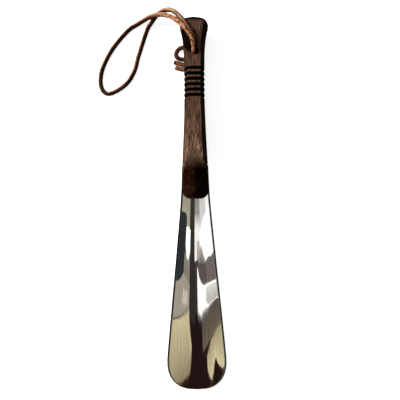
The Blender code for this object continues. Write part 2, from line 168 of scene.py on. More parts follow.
def thicken_up(piece: bpy.types.Object, rise: float) -> None:
    """Extrudes an open surface straight up to a closed solid.

    Args:
        piece: The surface.
        rise: How far up.
    """
    take(piece)
    bpy.ops.object.mode_set(mode="EDIT")
    bpy.ops.mesh.select_all(action="SELECT")
    bpy.ops.mesh.extrude_region_move(TRANSFORM_OT_translate={"value": (0, 0, rise)})
    bpy.ops.object.mode_set(mode="OBJECT")
    face_outwards(piece)


def pick_faces(
    piece: bpy.types.Object, wanted: Callable[[bmesh.types.BMFace], bool]
) -> None:
    """Selects faces by their place or normal, in edit mode.

    Args:
        piece: The piece in edit mode.
        wanted: Says of a face whether it is picked.
    """
    bm = bmesh.from_edit_mesh(piece.data)
    bm.select_mode = {"FACE"}
    for face in bm.faces:
        face.select_set(wanted(face))
    bm.select_flush_mode()
    bmesh.update_edit_mesh(piece.data)


def give(piece: bpy.types.Object, name: str, values: np.ndarray) -> None:
    """Stores a number or a vector at each vertex, for a finish to read.

    Args:
        piece: The piece.
        name: The attribute's name.
        values: One row for each vertex.
    """
    values = np.asarray(values, dtype=np.float32)
    kind, key = ("FLOAT", "value") if values.ndim == 1 else ("FLOAT_VECTOR", "vector")
    stored = piece.data.attributes.new(name, kind, "POINT")
    stored.data.foreach_set(key, values.ravel())


def read(piece: bpy.types.Object, kind: str) -> np.ndarray:
    """One row for each vertex: its place for the kind co, and its normal for normal."""
    flat = np.empty(3 * len(piece.data.vertices))
    piece.data.vertices.foreach_get(kind, flat)
    return flat.reshape(-1, 3)


def smooth(piece: bpy.types.Object, angle: float) -> None:
    """Shades a piece smooth, but for edges that turn more than the angle in degrees."""
    take(piece)
    bpy.ops.object.shade_smooth_by_angle(angle=math.radians(angle))


def hand_over(
    piece: bpy.types.Object, slot: Slot, finish: bpy.types.Material, *nodes: str
) -> bpy.types.Object:
    """Gives a finished piece its material and body, and hides the CAD nodes that it stands for.

    Args:
        piece: The finished piece.
        slot: The record's slot; not used.
        finish: Its material.
        *nodes: The CAD nodes that it replaces.

    Returns:
        The piece.
    """
    piece.data.materials.clear()
    piece.data.materials.append(finish)
    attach(piece, BODY)
    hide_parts(*nodes)
    LOG.info("%s: %d faces", piece.name, len(piece.data.polygons))
    return piece


# Finishes


@dataclass(frozen=True)
class Grain:
    """A layer of noise: how places are stretched before it is read, and its finer layers."""

    stretch: Point
    detail: float = 3.0
    rough: float = 0.5


class Nodes:
    """A material's node tree, filled by short calls."""

    def __init__(self, name: str) -> None:
        """Starts a material with its usual shader.

        Args:
            name: The material's name.
        """
        self.material = bpy.data.materials.new(name)
        self.material.use_nodes = True
        self.tree = self.material.node_tree
        self.shader = self.tree.nodes["Principled BSDF"]

    def add(self, kind: str, **settings: object) -> bpy.types.Node:
        """Adds a node.

        Args:
            kind: Its type without the usual first word.
            **settings: Its settings.

        Returns:
            The node.
        """
        made = self.tree.nodes.new("ShaderNode" + kind)
        for name, value in settings.items():
            setattr(made, name, value)
        return made

    def feed(self, socket: bpy.types.NodeSocket, value: Value) -> None:
        """Joins an output to a socket, or sets the socket to a plain value.

        Args:
            socket: The input.
            value: An output, or a plain value.
        """
        if isinstance(value, bpy.types.NodeSocket):
            self.tree.links.new(value, socket)
        else:
            socket.default_value = value

    def shade(self, **sockets: Value) -> bpy.types.Material:
        """Feeds the shader, and ends the material.

        Args:
            **sockets: Values by socket name, with _ for a space.

        Returns:
            The material.
        """
        for name, value in sockets.items():
            self.feed(self.shader.inputs[name.replace("_", " ")], value)
        return self.material

    def along(self, axis: str) -> bpy.types.NodeSocket:
        """The place on the object along one axis."""
        split = self.add("SeparateXYZ")
        self.feed(split.inputs[0], self.add("TexCoord").outputs["Object"])
        return split.outputs[axis]

    def stored(self, name: str) -> bpy.types.NodeSocket:
        """A number that the mesh stores."""
        return self.add("Attribute", attribute_name=name).outputs["Fac"]

    def grain(self, grain: Grain, stored: str = "") -> bpy.types.NodeSocket:
        """Noise, about 0 to 1.

        Args:
            grain: Its stretch and finer layers.
            stored: The place that the mesh stores and that it is read at, or nothing for the object's.

        Returns:
            The noise's value.
        """
        if stored:
            place = self.add("Attribute", attribute_name=stored).outputs["Vector"]
        else:
            place = self.add("TexCoord").outputs["Object"]
        mapping = self.add("Mapping", vector_type="POINT")
        self.feed(mapping.inputs["Vector"], place)
        self.feed(mapping.inputs["Scale"], grain.stretch)
        made = self.add("TexNoise")
        self.feed(made.inputs["Vector"], mapping.outputs["Vector"])
        self.feed(made.inputs["Scale"], 1.0)
        self.feed(made.inputs["Detail"], grain.detail)
        self.feed(made.inputs["Roughness"], grain.rough)
        return made.outputs["Fac"]

    def spread(
        self, value: Value, low: float, high: float, to_low: float = 0.0, to_high: float = 1.0
    ) -> bpy.types.NodeSocket:
        """A value from low to high, moved to run from to_low to to_high, and held there.

        Args:
            value: What is moved.
            low: Where it starts to rise.
            high: Where it has risen.
            to_low: The result up to low.
            to_high: The result from high on.

        Returns:
            The result.
        """
        made = self.add("MapRange", clamp=True, interpolation_type="SMOOTHSTEP")
        for socket, number in zip(made.inputs, (value, low, high, to_low, to_high)):
            self.feed(socket, number)
        return made.outputs["Result"]

    def maths(self, operation: str, first: Value, second: Value = 0.0) -> bpy.types.NodeSocket:
        """One sum on two values.

        Args:
            operation: The sum's type.
            first: The first value.
            second: The second value.

        Returns:
            The result.
        """
        made = self.add("Math", operation=operation)
        self.feed(made.inputs[0], first)
        self.feed(made.inputs[1], second)
        return made.outputs[0]

    def blend(self, share: Value, first: Value, second: Value) -> bpy.types.NodeSocket:
        """A colour between two others.

        Args:
            share: How much of the second.
            first: The colour at 0.
            second: The colour at 1.

        Returns:
            The colour.
        """
        made = self.add("Mix", data_type="RGBA")
        # A colour mix takes its colours at inputs 6 and 7, and gives its own at output 2.
        for index, value in ((0, share), (6, first), (7, second)):
            self.feed(made.inputs[index], value)
        return made.outputs[2]

    def relief(
        self, height: Value, depth: float, under: bpy.types.NodeSocket | None = None
    ) -> bpy.types.NodeSocket:
        """Bumps of a height map.

        Args:
            height: The map, from 0 to 1.
            depth: What 1 stands for, in metres.
            under: The bumps that these lie on.

        Returns:
            The bumped normal.
        """
        made = self.add("Bump")
        self.feed(made.inputs["Strength"], 1.0)
        self.feed(made.inputs["Distance"], depth)
        self.feed(made.inputs["Height"], height)
        if under is not None:
            self.feed(made.inputs["Normal"], under)
        return made.outputs["Normal"]


@dataclass(frozen=True)
class SteelFinish:
    """Polished steel with fine marks along its length, a dull cut edge, and a painted dark reflection on that
    edge and along the rim low down.
    """

    name: str = "polished steel"
    colour: Colour = (0.74, 0.73, 0.71, 1.0)
    dull_colour: Colour = (0.66, 0.65, 0.62, 1.0)
    marked_colour: Colour = (0.52, 0.51, 0.48, 1.0)
    # painted dark reflection colour for the cut edge and the rim line
    painted_dark_edge: Colour = (0.012, 0.010, 0.010, 1.0)
    smooth: float = 0.018
    brushed: float = 0.05
    edge_rough: float = 0.45
    mark_depth: float = 0.0000012
    scratches: Grain = Grain((5200, 55, 5200), 4, 0.6)
    clouds: Grain = Grain((60, 28, 60), 4, 0.6)
    bands: Grain = Grain((900, 14, 900))
    lines: Grain = Grain((1700, 45, 1700), 4, 0.7)
    dust: Grain = Grain((1300, 900, 1300), 3, 0.6)
    scratch_ramp: Ramp = (0.35, 0.75)
    cloud_ramp: Ramp = (0.3, 0.7, 0.35)
    dull_ramp: Ramp = (0.4, 0.7)
    mark_ramp: Ramp = (0.25, 0.75, 0.0, 0.5)
    line_ramp: Ramp = (0.42, 0.66, 0.0, 0.55)
    dust_ramp: Ramp = (0.5, 0.7, 0.0, 0.3)

    def material(self) -> bpy.types.Material:
        """The steel's material.

        Returns:
            The material, which reads the stored edge.
        """
        nodes = Nodes(self.name)
        fine, broad = nodes.grain(self.scratches), nodes.grain(self.bands)
        cloudy = nodes.spread(nodes.grain(self.clouds), *self.cloud_ramp)
        marks = nodes.maths("MULTIPLY", nodes.spread(fine, *self.scratch_ramp), cloudy)
        edge = nodes.stored("edge")
        roughness = nodes.spread(marks, 0.0, 1.0, self.smooth, self.brushed)
        roughness = nodes.spread(edge, 0.0, 1.0, roughness, self.edge_rough)
        colour = nodes.blend(nodes.spread(broad, *self.dull_ramp), self.colour, self.dull_colour)
        for layer, layer_ramp in (
            (marks, self.mark_ramp),
            (nodes.grain(self.lines), self.line_ramp),
            (nodes.grain(self.dust), self.dust_ramp),
        ):
            colour = nodes.blend(nodes.spread(layer, *layer_ramp), colour, self.marked_colour)
        return nodes.shade(
            # painted dark reflection on the edge
            Base_Color=nodes.blend(edge, colour, self.painted_dark_edge),
            Metallic=1.0,
            Roughness=roughness,
            Normal=nodes.relief(broad, self.mark_depth, nodes.relief(fine, self.mark_depth)),
        )


@dataclass(frozen=True)
class RivetFinish:
    """Plain steel, hammered over, and darkened where it is sunk in the nose."""

    name: str = "hammered rivet steel"
    colour: Colour = (0.62, 0.60, 0.58, 1.0)
    stained: Colour = (0.22, 0.19, 0.17, 1.0)
    sunk: Colour = (0.060, 0.030, 0.024, 1.0)
    dent_depth: float = 0.00006
    dents: Grain = Grain((1600, 1600, 1600), 2)
    stains_and_painted_shade: Grain = Grain((900, 900, 900), 4, 0.65)
    sunk_heights: Ramp = (0.0085, 0.0095)
    stain_ramp: Ramp = (0.5, 0.72)
    rough_ramp: Ramp = (0.3, 0.7, 0.28, 0.5)

    def material(self) -> bpy.types.Material:
        """The rivets' material.

        Returns:
            The material.
        """
        nodes = Nodes(self.name)
        stains_and_painted_shade = nodes.grain(self.stains_and_painted_shade)
        front = nodes.spread(nodes.along("Z"), *self.sunk_heights)
        plain = nodes.blend(nodes.spread(stains_and_painted_shade, *self.stain_ramp), self.colour, self.stained)
        return nodes.shade(
            Base_Color=nodes.blend(front, plain, self.sunk),
            Metallic=1.0,
            Roughness=nodes.spread(stains_and_painted_shade, *self.rough_ramp),
            Normal=nodes.relief(nodes.grain(self.dents), self.dent_depth),
        )


@dataclass(frozen=True)
class WoodFinish:
    """Dark stained wood with an open grain along the handle, lighter low down, black where it is burnt, darker
    at the top end, with painted glints and painted shade.
    """

    name: str = "dark stained wood"
    dark: Colour = (0.020, 0.011, 0.007, 1.0)
    middle: Colour = (0.092, 0.046, 0.027, 1.0)
    light: Colour = (0.34, 0.20, 0.125, 1.0)
    # painted glint colour: light specks that stand in for highlights
    glint: Colour = (0.42, 0.27, 0.19, 1.0)
    cut_dark: Colour = (0.006, 0.002, 0.001, 1.0)
    cut_red: Colour = (0.056, 0.014, 0.006, 1.0)
    burnt: Colour = (0.001, 0.0008, 0.0008, 1.0)
    # painted shade colour, also used for the darker top end
    painted_shade_and_dark_top: Colour = (0.0022, 0.0010, 0.0006, 1.0)
    pore_depth: float = 0.00012
    gloss: float = 0.0
    streaks: Grain = Grain((1900, 130, 1900), 4, 0.65)
    pores: Grain = Grain((2800, 230, 2800), 2)
    bands: Grain = Grain((620, 22, 620))
    patches: Grain = Grain((160, 60, 160))
    glints: Grain = Grain((2600, 900, 2600), 3, 0.6)
    # lighter towards the blade end: more pale streaks and glints low down
    lighter_low_ramp: Ramp = (0.040, 0.088, 1.3, 0.3)
    body_ramp: Ramp = (0.30, 0.60)
    pale_ramp: Ramp = (0.46, 0.64)
    patch_ramp: Ramp = (0.3, 0.6, 0.4)
    band_ramp: Ramp = (0.5, 0.75, 0.0, 0.45)
    pore_ramp: Ramp = (0.3, 0.44, 0.45, 0.0)
    glint_ramp: Ramp = (0.56, 0.68, 0.0, 0.6)
    end_ramp: Ramp = (0.42, 0.66)
    relief_ramp: Ramp = (0.28, 0.5)
    rough_ramp: Ramp = (0.3, 0.7, 0.62, 0.42)

    def material(self) -> bpy.types.Material:
        """The wood's material.

        Returns:
            The material, which reads the stored cut, painted shade and burn.
        """
        nodes = Nodes(self.name)
        streaks, pores = nodes.grain(self.streaks), nodes.grain(self.pores)
        lighter_low = nodes.spread(nodes.along("Y"), *self.lighter_low_ramp)
        patches = nodes.spread(nodes.grain(self.patches), *self.patch_ramp)
        pale_share = nodes.maths("MULTIPLY", nodes.spread(streaks, *self.pale_ramp), patches)
        # painted glints, more of them low down
        glints = nodes.spread(nodes.grain(self.glints), *self.glint_ramp)
        end_grain = nodes.blend(nodes.spread(streaks, *self.end_ramp), self.cut_dark, self.cut_red)
        colour = nodes.blend(nodes.spread(streaks, *self.body_ramp), self.dark, self.middle)
        for share, over in (
            (nodes.maths("MULTIPLY", pale_share, lighter_low), self.light),
            (nodes.spread(nodes.grain(self.bands), *self.band_ramp), self.dark),
            (nodes.spread(pores, *self.pore_ramp), self.dark),
            (nodes.maths("MULTIPLY", glints, lighter_low), self.glint),
            (nodes.stored("cut"), end_grain),
            # painted shade, and the darker top end
            (nodes.stored("painted_shade_and_dark_top"), self.painted_shade_and_dark_top),
            (nodes.stored("burn"), self.burnt),
        ):
            colour = nodes.blend(share, colour, over)
        open_grain = nodes.relief(nodes.spread(pores, *self.relief_ramp), self.pore_depth)
        return nodes.shade(
            Base_Color=colour,
            Roughness=nodes.spread(streaks, *self.rough_ramp),
            Specular_IOR_Level=self.gloss,
            Normal=nodes.relief(streaks, self.pore_depth, open_grain),
        )


@dataclass(frozen=True)
class LeatherFinish:
    """Round leather cord: tan and napped where it was cut, dark and waxed where it was handled, with a painted
    highlight on its lit side and painted shade on its far side.
    """

    name: str = "tan leather"
    waxed_dark: Colour = (0.010, 0.0035, 0.0015, 1.0)
    waxed: Colour = (0.050, 0.016, 0.007, 1.0)
    nap_dark: Colour = (0.055, 0.017, 0.005, 1.0)
    nap_light: Colour = (0.50, 0.235, 0.115, 1.0)
    # painted highlight colour for the cord's lit side
    painted_highlight: Colour = (0.56, 0.30, 0.18, 1.0)
    cut_end: Colour = (0.022, 0.009, 0.005, 1.0)
    # painted shade colour for the cord's side away from the light
    painted_shade: Colour = (0.010, 0.0035, 0.0015, 1.0)
    gloss: float = 0.0
    crease_depth: float = 0.00010
    fibre_depth: float = 0.00005
    flecks: Grain = Grain((1100, 1100, 480), 3, 0.6)
    fibres: Grain = Grain((3800, 3800, 1500), 3, 0.6)
    shades: Grain = Grain((260, 260, 90), 2)
    nap_ramp: Ramp = (0.41, 0.54)
    wax_ramp: Ramp = (0.35, 0.65)
    highlight_ramp: Ramp = (0.3, 0.55, 0.3, 1.0)
    rough_ramp: Ramp = (0.0, 1.0, 0.42, 0.85)

    def material(self) -> bpy.types.Material:
        """The leather's material.

        Returns:
            The material, which reads the stored places, nap, lit side for the painted highlight, painted shade
            and end.
        """
        nodes = Nodes(self.name)
        layers = (self.flecks, self.fibres, self.shades)
        flecks, fibres, shade = (nodes.grain(layer, "rolled") for layer in layers)
        napped = nodes.blend(nodes.spread(flecks, *self.nap_ramp), self.nap_dark, self.nap_light)
        waxed = nodes.blend(nodes.spread(shade, *self.wax_ramp), self.waxed_dark, self.waxed)
        pale_share = nodes.spread(shade, *self.highlight_ramp)
        colour = waxed
        for share, over in (
            (nodes.stored("nap"), napped),
            # painted highlight on the lit side, then painted shade on the far side
            (nodes.maths("MULTIPLY", nodes.stored("lit"), pale_share), self.painted_highlight),
            (nodes.stored("painted_shade"), self.painted_shade),
            (nodes.stored("end"), self.cut_end),
        ):
            colour = nodes.blend(share, colour, over)
        creases = nodes.relief(flecks, self.crease_depth)
        return nodes.shade(
            Base_Color=colour,
            Roughness=nodes.spread(nodes.stored("nap"), *self.rough_ramp),
            Specular_IOR_Level=self.gloss,
            Normal=nodes.relief(fibres, self.fibre_depth, creases),
        )


# Sub-assemblies


@dataclass
class Blade:
    """The steel trough, wide at its tip and wrapped round the wood at its head."""

    tip_y: float = -0.150
    length: float = 0.1863
    steel: float = 0.0012
    edge_round: float = 0.00035
    edge_steps: int = 3
    head_width: float = 0.0213
    tip_width: float = 0.0488
    head_belly: float = 0.0061
    tip_belly: float = 0.0022
    tip_round: float = 0.0300
    tip_power: float = 2.45
    head_wrap: float = 48.0
    tip_wrap: float = 45.0
    rest_share: float = 0.70
    width_shares: tuple[tuple[float, float], ...] = (
        (0.0, 0.0),
        (0.145, 0.09),
        (0.37, 0.37),
        (0.64, 0.73),
        (0.84, 0.975),
        (0.90, 1.0),
        (1.0, 1.0),
    )
    rows: int = 150
    tip_rows: int = 34
    segments: int = 72
    spread_from: float = 0.79
    spread: float = 0.12
    fairing: float = 0.009
    fairing_weights: tuple[float, ...] = (0.25, 0.5, 0.25)
    rim_line: float = 0.0006
    rim_from: float = 0.030
    rim_fade: float = 0.02
    edge_turn: float = 0.97
    edge_fade: float = 0.08
    smooth_angle: float = 50.0
    weld: float = 0.00001
    ripple: float = 0.000004
    ripple_length: float = 0.016

    @property
    def head_y(self) -> float:
        """Where the steel ends at the wood's shoulder."""
        return self.tip_y + self.length

    def share(self, y: float) -> float:
        """0 at the blade's head and 1 at its tip."""
        return (self.head_y - y) / self.length

    def grown(self, at: float) -> float:
        """How far the width has grown at a share of the length.

        Args:
            at: The share of the length, from 0 to 1.

        Returns:
            From 0, the head's width, to 1, the tip's.
        """
        rows = [self.width_shares[0], *self.width_shares, self.width_shares[-1]]
        for before, low, high, after in zip(rows, rows[1:], rows[2:], rows[3:]):
            if at <= high[0] or high is rows[-2]:
                break
        span = high[0] - low[0]
        t = (at - low[0]) / span
        slope_low = (high[1] - before[1]) / (high[0] - before[0]) * span
        slope_high = (after[1] - low[1]) / (after[0] - low[0]) * span
        return (
            (2 * t**3 - 3 * t**2 + 1) * low[1]
            + (t**3 - 2 * t**2 + t) * slope_low
            + (3 * t**2 - 2 * t**3) * high[1]
            + (t**3 - t**2) * slope_high
        )

    def half_width(self, y: float) -> float:
        """Half the width, before the tip's corners are rounded off."""
        grown = self.grown(min(max(self.share(y), 0.0), 1.0))
        return (self.head_width + (self.tip_width - self.head_width) * grown) / 2

    def radius(self, y: float) -> float:
        """Radius of the trough's outside, which goes on growing past spread_from.

        Args:
            y: Where along the horn.

        Returns:
            The radius.
        """
        spread = max(self.share(y) - self.spread_from, 0.0) * self.length
        y += spread
        share = smoothstep(self.share(y) / (1 - self.tip_round / self.length))
        wrap = self.head_wrap + (self.tip_wrap - self.head_wrap) * share
        return self.half_width(y) / math.sin(math.radians(wrap)) + self.spread * spread

    def belly(self, y: float) -> float:
        """Height of the underside above the table, faired where its two curves meet.

        Args:
            y: Where along the horn.

        Returns:
            The height.
        """
        height = 0.0
        for side, weight in zip((-1, 0, 1), self.fairing_weights):
            share = self.share(y + side * self.fairing)
            if share < self.rest_share:
                height += weight * self.head_belly * (1 - smoothstep(share / self.rest_share))
            else:
                past = (share - self.rest_share) / (1 - self.rest_share)
                height += weight * self.tip_belly * past**2
        return height

    def on_trough(self, y: float, across: float, half_width: float, inset: float = 0.0) -> Point:
        """A point on the trough.

        Args:
            y: Where along the horn.
            across: From -1 at the left rim to 1 at the right one.
            half_width: Half the outline's width there.
            inset: How far inside the outer skin.

        Returns:
            The point.
        """
        radius = self.radius(y)
        angle = across * math.asin(min(half_width / radius, 1.0))
        height = self.belly(y) + radius - (radius - inset) * math.cos(angle)
        return ((radius - inset) * math.sin(angle), y, height)

    def outline(self) -> list[tuple[float, float]]:
        """Pairs of y and half width from the head to the tip, whose corners are a squared ellipse.

        Returns:
            The pairs, from the head down.
        """
        round_y = self.tip_y + self.tip_round
        pairs = []
        for i in range(self.rows):
            y = self.head_y + (round_y - self.head_y) * i / self.rows
            pairs.append((y, self.half_width(y)))
        for i in range(self.tip_rows + 1):
            turn = math.pi / 2 * i / self.tip_rows
            y = round_y - self.tip_round * math.sin(turn) ** (2 / self.tip_power)
            narrowed = max(math.cos(turn), 0.0) ** (2 / self.tip_power)
            pairs.append((y, self.half_width(y) * narrowed))
        return pairs

    def shape(self) -> bpy.types.Object:
        """A grid that is laid on the trough's outside, given its thickness and eased edges.

        Returns:
            The blade, without its marks and holes.
        """
        deselect()
        pairs = self.outline()
        bpy.ops.mesh.primitive_grid_add(
            x_subdivisions=self.segments, y_subdivisions=len(pairs) - 1, size=1
        )
        piece = fresh("steel_blade")
        points = []
        for y, half_width in reversed(pairs):
            for i in range(self.segments + 1):
                x, y, z = self.on_trough(y, 2 * i / self.segments - 1, half_width)
                hammered = noise.noise(Vector((x, y, z)) / self.ripple_length)
                points.append((x, y, z + self.ripple * hammered))
        lay_out(piece, points)
        apply(piece, "WELD", merge_threshold=self.weld)
        if piece.data.polygons[0].normal.z > 0:
            piece.data.flip_normals()
        apply(piece, "SOLIDIFY", thickness=self.steel, offset=-1, use_even_offset=True)
        apply(
            piece,
            "BEVEL",
            width=self.edge_round,
            segments=self.edge_steps,
            limit_method="ANGLE",
            angle_limit=math.radians(self.smooth_angle),
        )
        return piece

    def mark(self, piece: bpy.types.Object) -> None:
        """Stores where the edge is dull and has a painted dark reflection: where the normal lies along the
        sheet, and a line at the rim.

        Args:
            piece: The blade.
        """
        edge = []
        known = np.array(sorted(self.outline())).T
        for vertex in piece.data.vertices:
            x, y, z = vertex.co
            centre = self.belly(y) + self.radius(y)
            across = Vector((x, 0, z - centre)).normalized()
            # painted dark reflection: where the normal lies along the sheet, and a line along the rim low down
            turned = (self.edge_turn - abs(vertex.normal.dot(across))) / self.edge_fade
            reach = np.interp(y, known[0], known[1])
            near = 1 - (reach - self.steel - abs(x)) / self.rim_line
            low = smoothstep((self.rim_from - y) / self.rim_fade)
            edge.append(max(turned, min(near, 1.0) * low))
        give(piece, "edge", np.clip(edge, 0, 1))

    def build(self, finish: bpy.types.Material, holes: list[bpy.types.Object]) -> None:
        """Makes the blade.

        Args:
            finish: The steel.
            holes: Cutters for the rivets.
        """
        piece = self.shape()
        for hole in holes:
            carve(piece, hole)
        smooth(piece, self.smooth_angle)
        self.mark(piece)
        hand_over(piece, Slot.STEEL, finish, "blade")


@dataclass
class Handle:
    """The wooden bar of eight facets, with its cut rings, its bore and the nose inside the blade."""

    blade: Blade
    gap: float = 0.0003
    top_y: float = 0.150
    back_height: float = 0.0066
    thickness: float = 0.0175
    waist_width: float = 0.0165
    foot_width: float = 0.0206
    flare_width: float = 0.0228
    flare_rise: float = 0.0018
    waist_shares: tuple[float, float] = (0.44, 0.70)
    flared_share: float = 0.974
    foot_power: float = 1.45
    flare_power: float = 2.4
    flat_share: float = 0.64
    side_share: float = 0.12
    corner_radius: float = 0.0007
    end_radius: float = 0.0018
    crown: float = 0.0022
    bulge_share: float = 0.11
    crown_run: float = 0.014
    lid_shares: tuple[float, ...] = (0.8, 0.75, 0.67, 0.5)
    round_back: float = 0.022
    nose_length: float = 0.0276
    nose_run: float = 0.0336
    nose_tip: float = 0.0012
    nose_round_share: float = 0.2
    nose_margin: float = 0.004
    ring_count: int = 6
    ring_pitch: float = 0.0042
    ring_width: float = 0.0023
    ring_depth: float = 0.0006
    first_ring_below_top: float = 0.0391
    bore_below_top: float = 0.0259
    bore_diameter: float = 0.0065
    bore_offset: float = 0.0004
    burn_reach: float = 0.00145
    burn_fade: float = 0.0003
    # painted shade by facing: how far a normal turns sideways before it darkens, and how dark the right-hand
    # facets go
    shade_turn: float = 0.35
    right_shade_share: float = 0.85
    # painted shadow of the cord's strands on the handle: its centre line, width, fade and darkness; the fade
    # also serves the darker top end
    strand_shadow_ends: tuple[tuple[float, float], tuple[float, float]] = ((-0.0098, 0.139), (-0.0036, 0.1262))
    strand_shadow_radius: float = 0.0037
    shadow_and_top_fade: float = 0.0014
    strand_shadow_share: float = 0.96
    # painted shade on the left-hand facets above the crease
    left_shade_share: float = 0.35
    left_shade_fade: float = 0.030
    # darker at the top end
    top_share: float = 0.93
    top_reach: float = 0.0036
    # painted shade on the nose slope, darker towards +X
    nose_shade_from: float = -0.0035
    nose_shade_fade: float = 0.0045
    crease_fade: float = 0.010
    stations: int = 48
    ring_steps: int = 5
    facet_points: int = 3
    slope_steps: int = 24
    bore_sides: int = 48
    overrun: float = 0.008
    clearance: float = 0.002
    voxel: float = 0.00036
    smoothing: float = 0.5
    smoothing_rounds: int = 4
    waviness: float = 0.00007
    wave_length: float = 0.009
    wave_stretch: float = 3.0

    def __post_init__(self) -> None:
        """Works out the places from the sizes."""
        self.shoulder_y = self.blade.head_y + self.gap
        self.nose_y = self.shoulder_y - self.nose_length
        self.crease_y = self.nose_y + self.nose_run
        self.middle_height = self.back_height + self.thickness / 2
        self.front_height = self.back_height + self.thickness
        self.bore_y = self.top_y - self.bore_below_top

    def half_sizes(self, y: float, inset: float = 0.0) -> tuple[float, float]:
        """Half the width and half the thickness at y, less an inset.

        Args:
            y: Where along the handle.
            inset: How much smaller all round.

        Returns:
            Half the width, and half the thickness.
        """
        share = (y - self.shoulder_y) / (self.top_y - self.shoulder_y)
        waist_low, waist_high = self.waist_shares
        foot = max(1 - share / waist_low, 0.0) ** self.foot_power
        flared = (share - waist_high) / (self.flared_share - waist_high)
        flare = min(max(flared, 0.0), 1.0) ** self.flare_power
        width = self.waist_width
        width += (self.foot_width - self.waist_width) * foot
        width += (self.flare_width - self.waist_width) * flare
        half_height = self.thickness / 2 + self.flare_rise * flare
        return width / 2 - inset, half_height - inset

    def section(self) -> list[tuple[float, float]]:
        """The waist's section: eight facets with eased corners, turning from +X towards +Z.

        Returns:
            Pairs of x and height over the handle's middle.
        """
        half_width, half_height = self.waist_width / 2, self.thickness / 2
        flat, side = half_width * self.flat_share, half_height * self.side_share
        quarter = [Vector((half_width, side)), Vector((flat, half_height))]
        upper = quarter + [Vector((-p.x, p.y)) for p in reversed(quarter)]
        corners = upper + [-p for p in upper]
        ring = []
        for i, corner in enumerate(corners):
            following = corners[(i + 1) % len(corners)]
            before = corner + (corners[i - 1] - corner).normalized() * self.corner_radius
            ahead = (following - corner).normalized() * self.corner_radius
            after, end = corner + ahead, following - ahead
            ring += [before, (before + 2 * corner + after) / 4, after]
            for k in range(1, self.facet_points + 1):
                ring.append(after.lerp(end, k / (self.facet_points + 1)))
        return [(p.x, p.y) for p in ring]

    def ring_middles(self) -> list[float]:
        """The places of the cut rings, from the top down."""
        first = self.top_y - self.first_ring_below_top
        return [first - i * self.ring_pitch for i in range(self.ring_count)]

    def section_places(self) -> list[tuple[float, float]]:
        """Pairs of place and inset from the nose to the top: plain wood, the rings and the eased end.

        Returns:
            The pairs, from the nose up.
        """
        low, high = self.nose_y - self.nose_margin, self.top_y - self.end_radius
        rings = self.ring_middles()
        plain = [low + (high - low) * i / self.stations for i in range(self.stations)]
        pairs = [
            (y, 0.0)
            for y in plain + [self.shoulder_y]
            if not rings[-1] - self.ring_width < y < rings[0] + self.ring_width
        ]
        for middle in rings:
            for i in range(2 * self.ring_steps + 1):
                turn = math.pi * i / (2 * self.ring_steps)
                y = middle - self.ring_width / 2 * math.cos(turn)
                pairs.append((y, self.ring_depth * math.sin(turn)))
        for i in range(self.ring_steps + 1):
            turn = math.pi / 2 * i / self.ring_steps
            y = high + self.end_radius * math.sin(turn)
            pairs.append((y, self.end_radius * (1 - math.cos(turn))))
        return sorted(pairs)

    def nose_height(self, y: float) -> float:
        """Height of the nose's sloping front.

        Args:
            y: Where along the horn.

        Returns:
            The height above the table.
        """
        share = min((self.crease_y - y) / self.nose_run, 1.0)
        rounded = 1 - math.sqrt(1 - share * share)
        drop = (1 - self.nose_round_share) * share + self.nose_round_share * rounded
        end = self.blade.belly(self.nose_y) + self.blade.steel + self.gap + self.nose_tip
        return self.front_height + (end - self.front_height) * drop

    def bar(self) -> bpy.types.Object:
        """A ring in the shape of the section, extruded and resized from place to place.

        Returns:
            The bar, closed at both ends.
        """
        section, steps = self.section(), self.section_places()
        deselect()
        bpy.ops.mesh.primitive_circle_add(
            vertices=len(section), radius=self.waist_width, fill_type="NGON"
        )
        piece = fresh("wooden_handle")
        at = steps[0][0]
        sizes = self.waist_width / 2, self.thickness / 2
        lay_out(piece, [(x, at, self.middle_height + z) for x, z in section])
        bpy.ops.object.mode_set(mode="EDIT")
        bpy.ops.mesh.select_all(action="SELECT")
        for y, inset in steps:
            if y > at:
                move = {"value": (0, y - at, 0)}
                bpy.ops.mesh.extrude_region_move(TRANSFORM_OT_translate=move)
            wanted = self.half_sizes(y, inset)
            bpy.ops.transform.resize(
                value=(wanted[0] / sizes[0], 1, wanted[1] / sizes[1]),
                center_override=(0, y, self.middle_height),
            )
            at, sizes = y, wanted
        centre = (0, self.top_y, self.middle_height)
        for share in self.lid_shares:
            bpy.ops.mesh.extrude_region_move(TRANSFORM_OT_translate={"value": (0, 0, 0)})
            bpy.ops.transform.resize(value=(share, 1, share), center_override=centre)
        bpy.ops.mesh.poke()
        face_outwards(piece)
        return piece

    def swell_top(self, row: np.ndarray, amount: float) -> None:
        """Swells a point of a slanted facet near the top end, and lowers it by the end's crown.

        Args:
            row: The point, which is moved.
            amount: How far crown and bulge have set in.
        """
        rise = max(row[1] - self.top_y + self.end_radius, 0.0) / self.end_radius
        inset = self.end_radius * (1 - math.sqrt(max(1 - rise * rise, 0.0)))
        half_width, half_height = self.half_sizes(row[1], inset)
        flat, side = half_width * self.flat_share, half_height * self.side_share
        height = row[2] - self.middle_height
        row[1] -= self.crown * amount * (row[0] / half_width) ** 2
        across = (abs(row[0]) - flat) / (half_width - flat)
        if 0 < across < 1 and abs(height) > side:
            swell = 1 + self.bulge_share * amount * 4 * across * (1 - across)
            row[0] *= swell
            row[2] = self.middle_height + height * swell

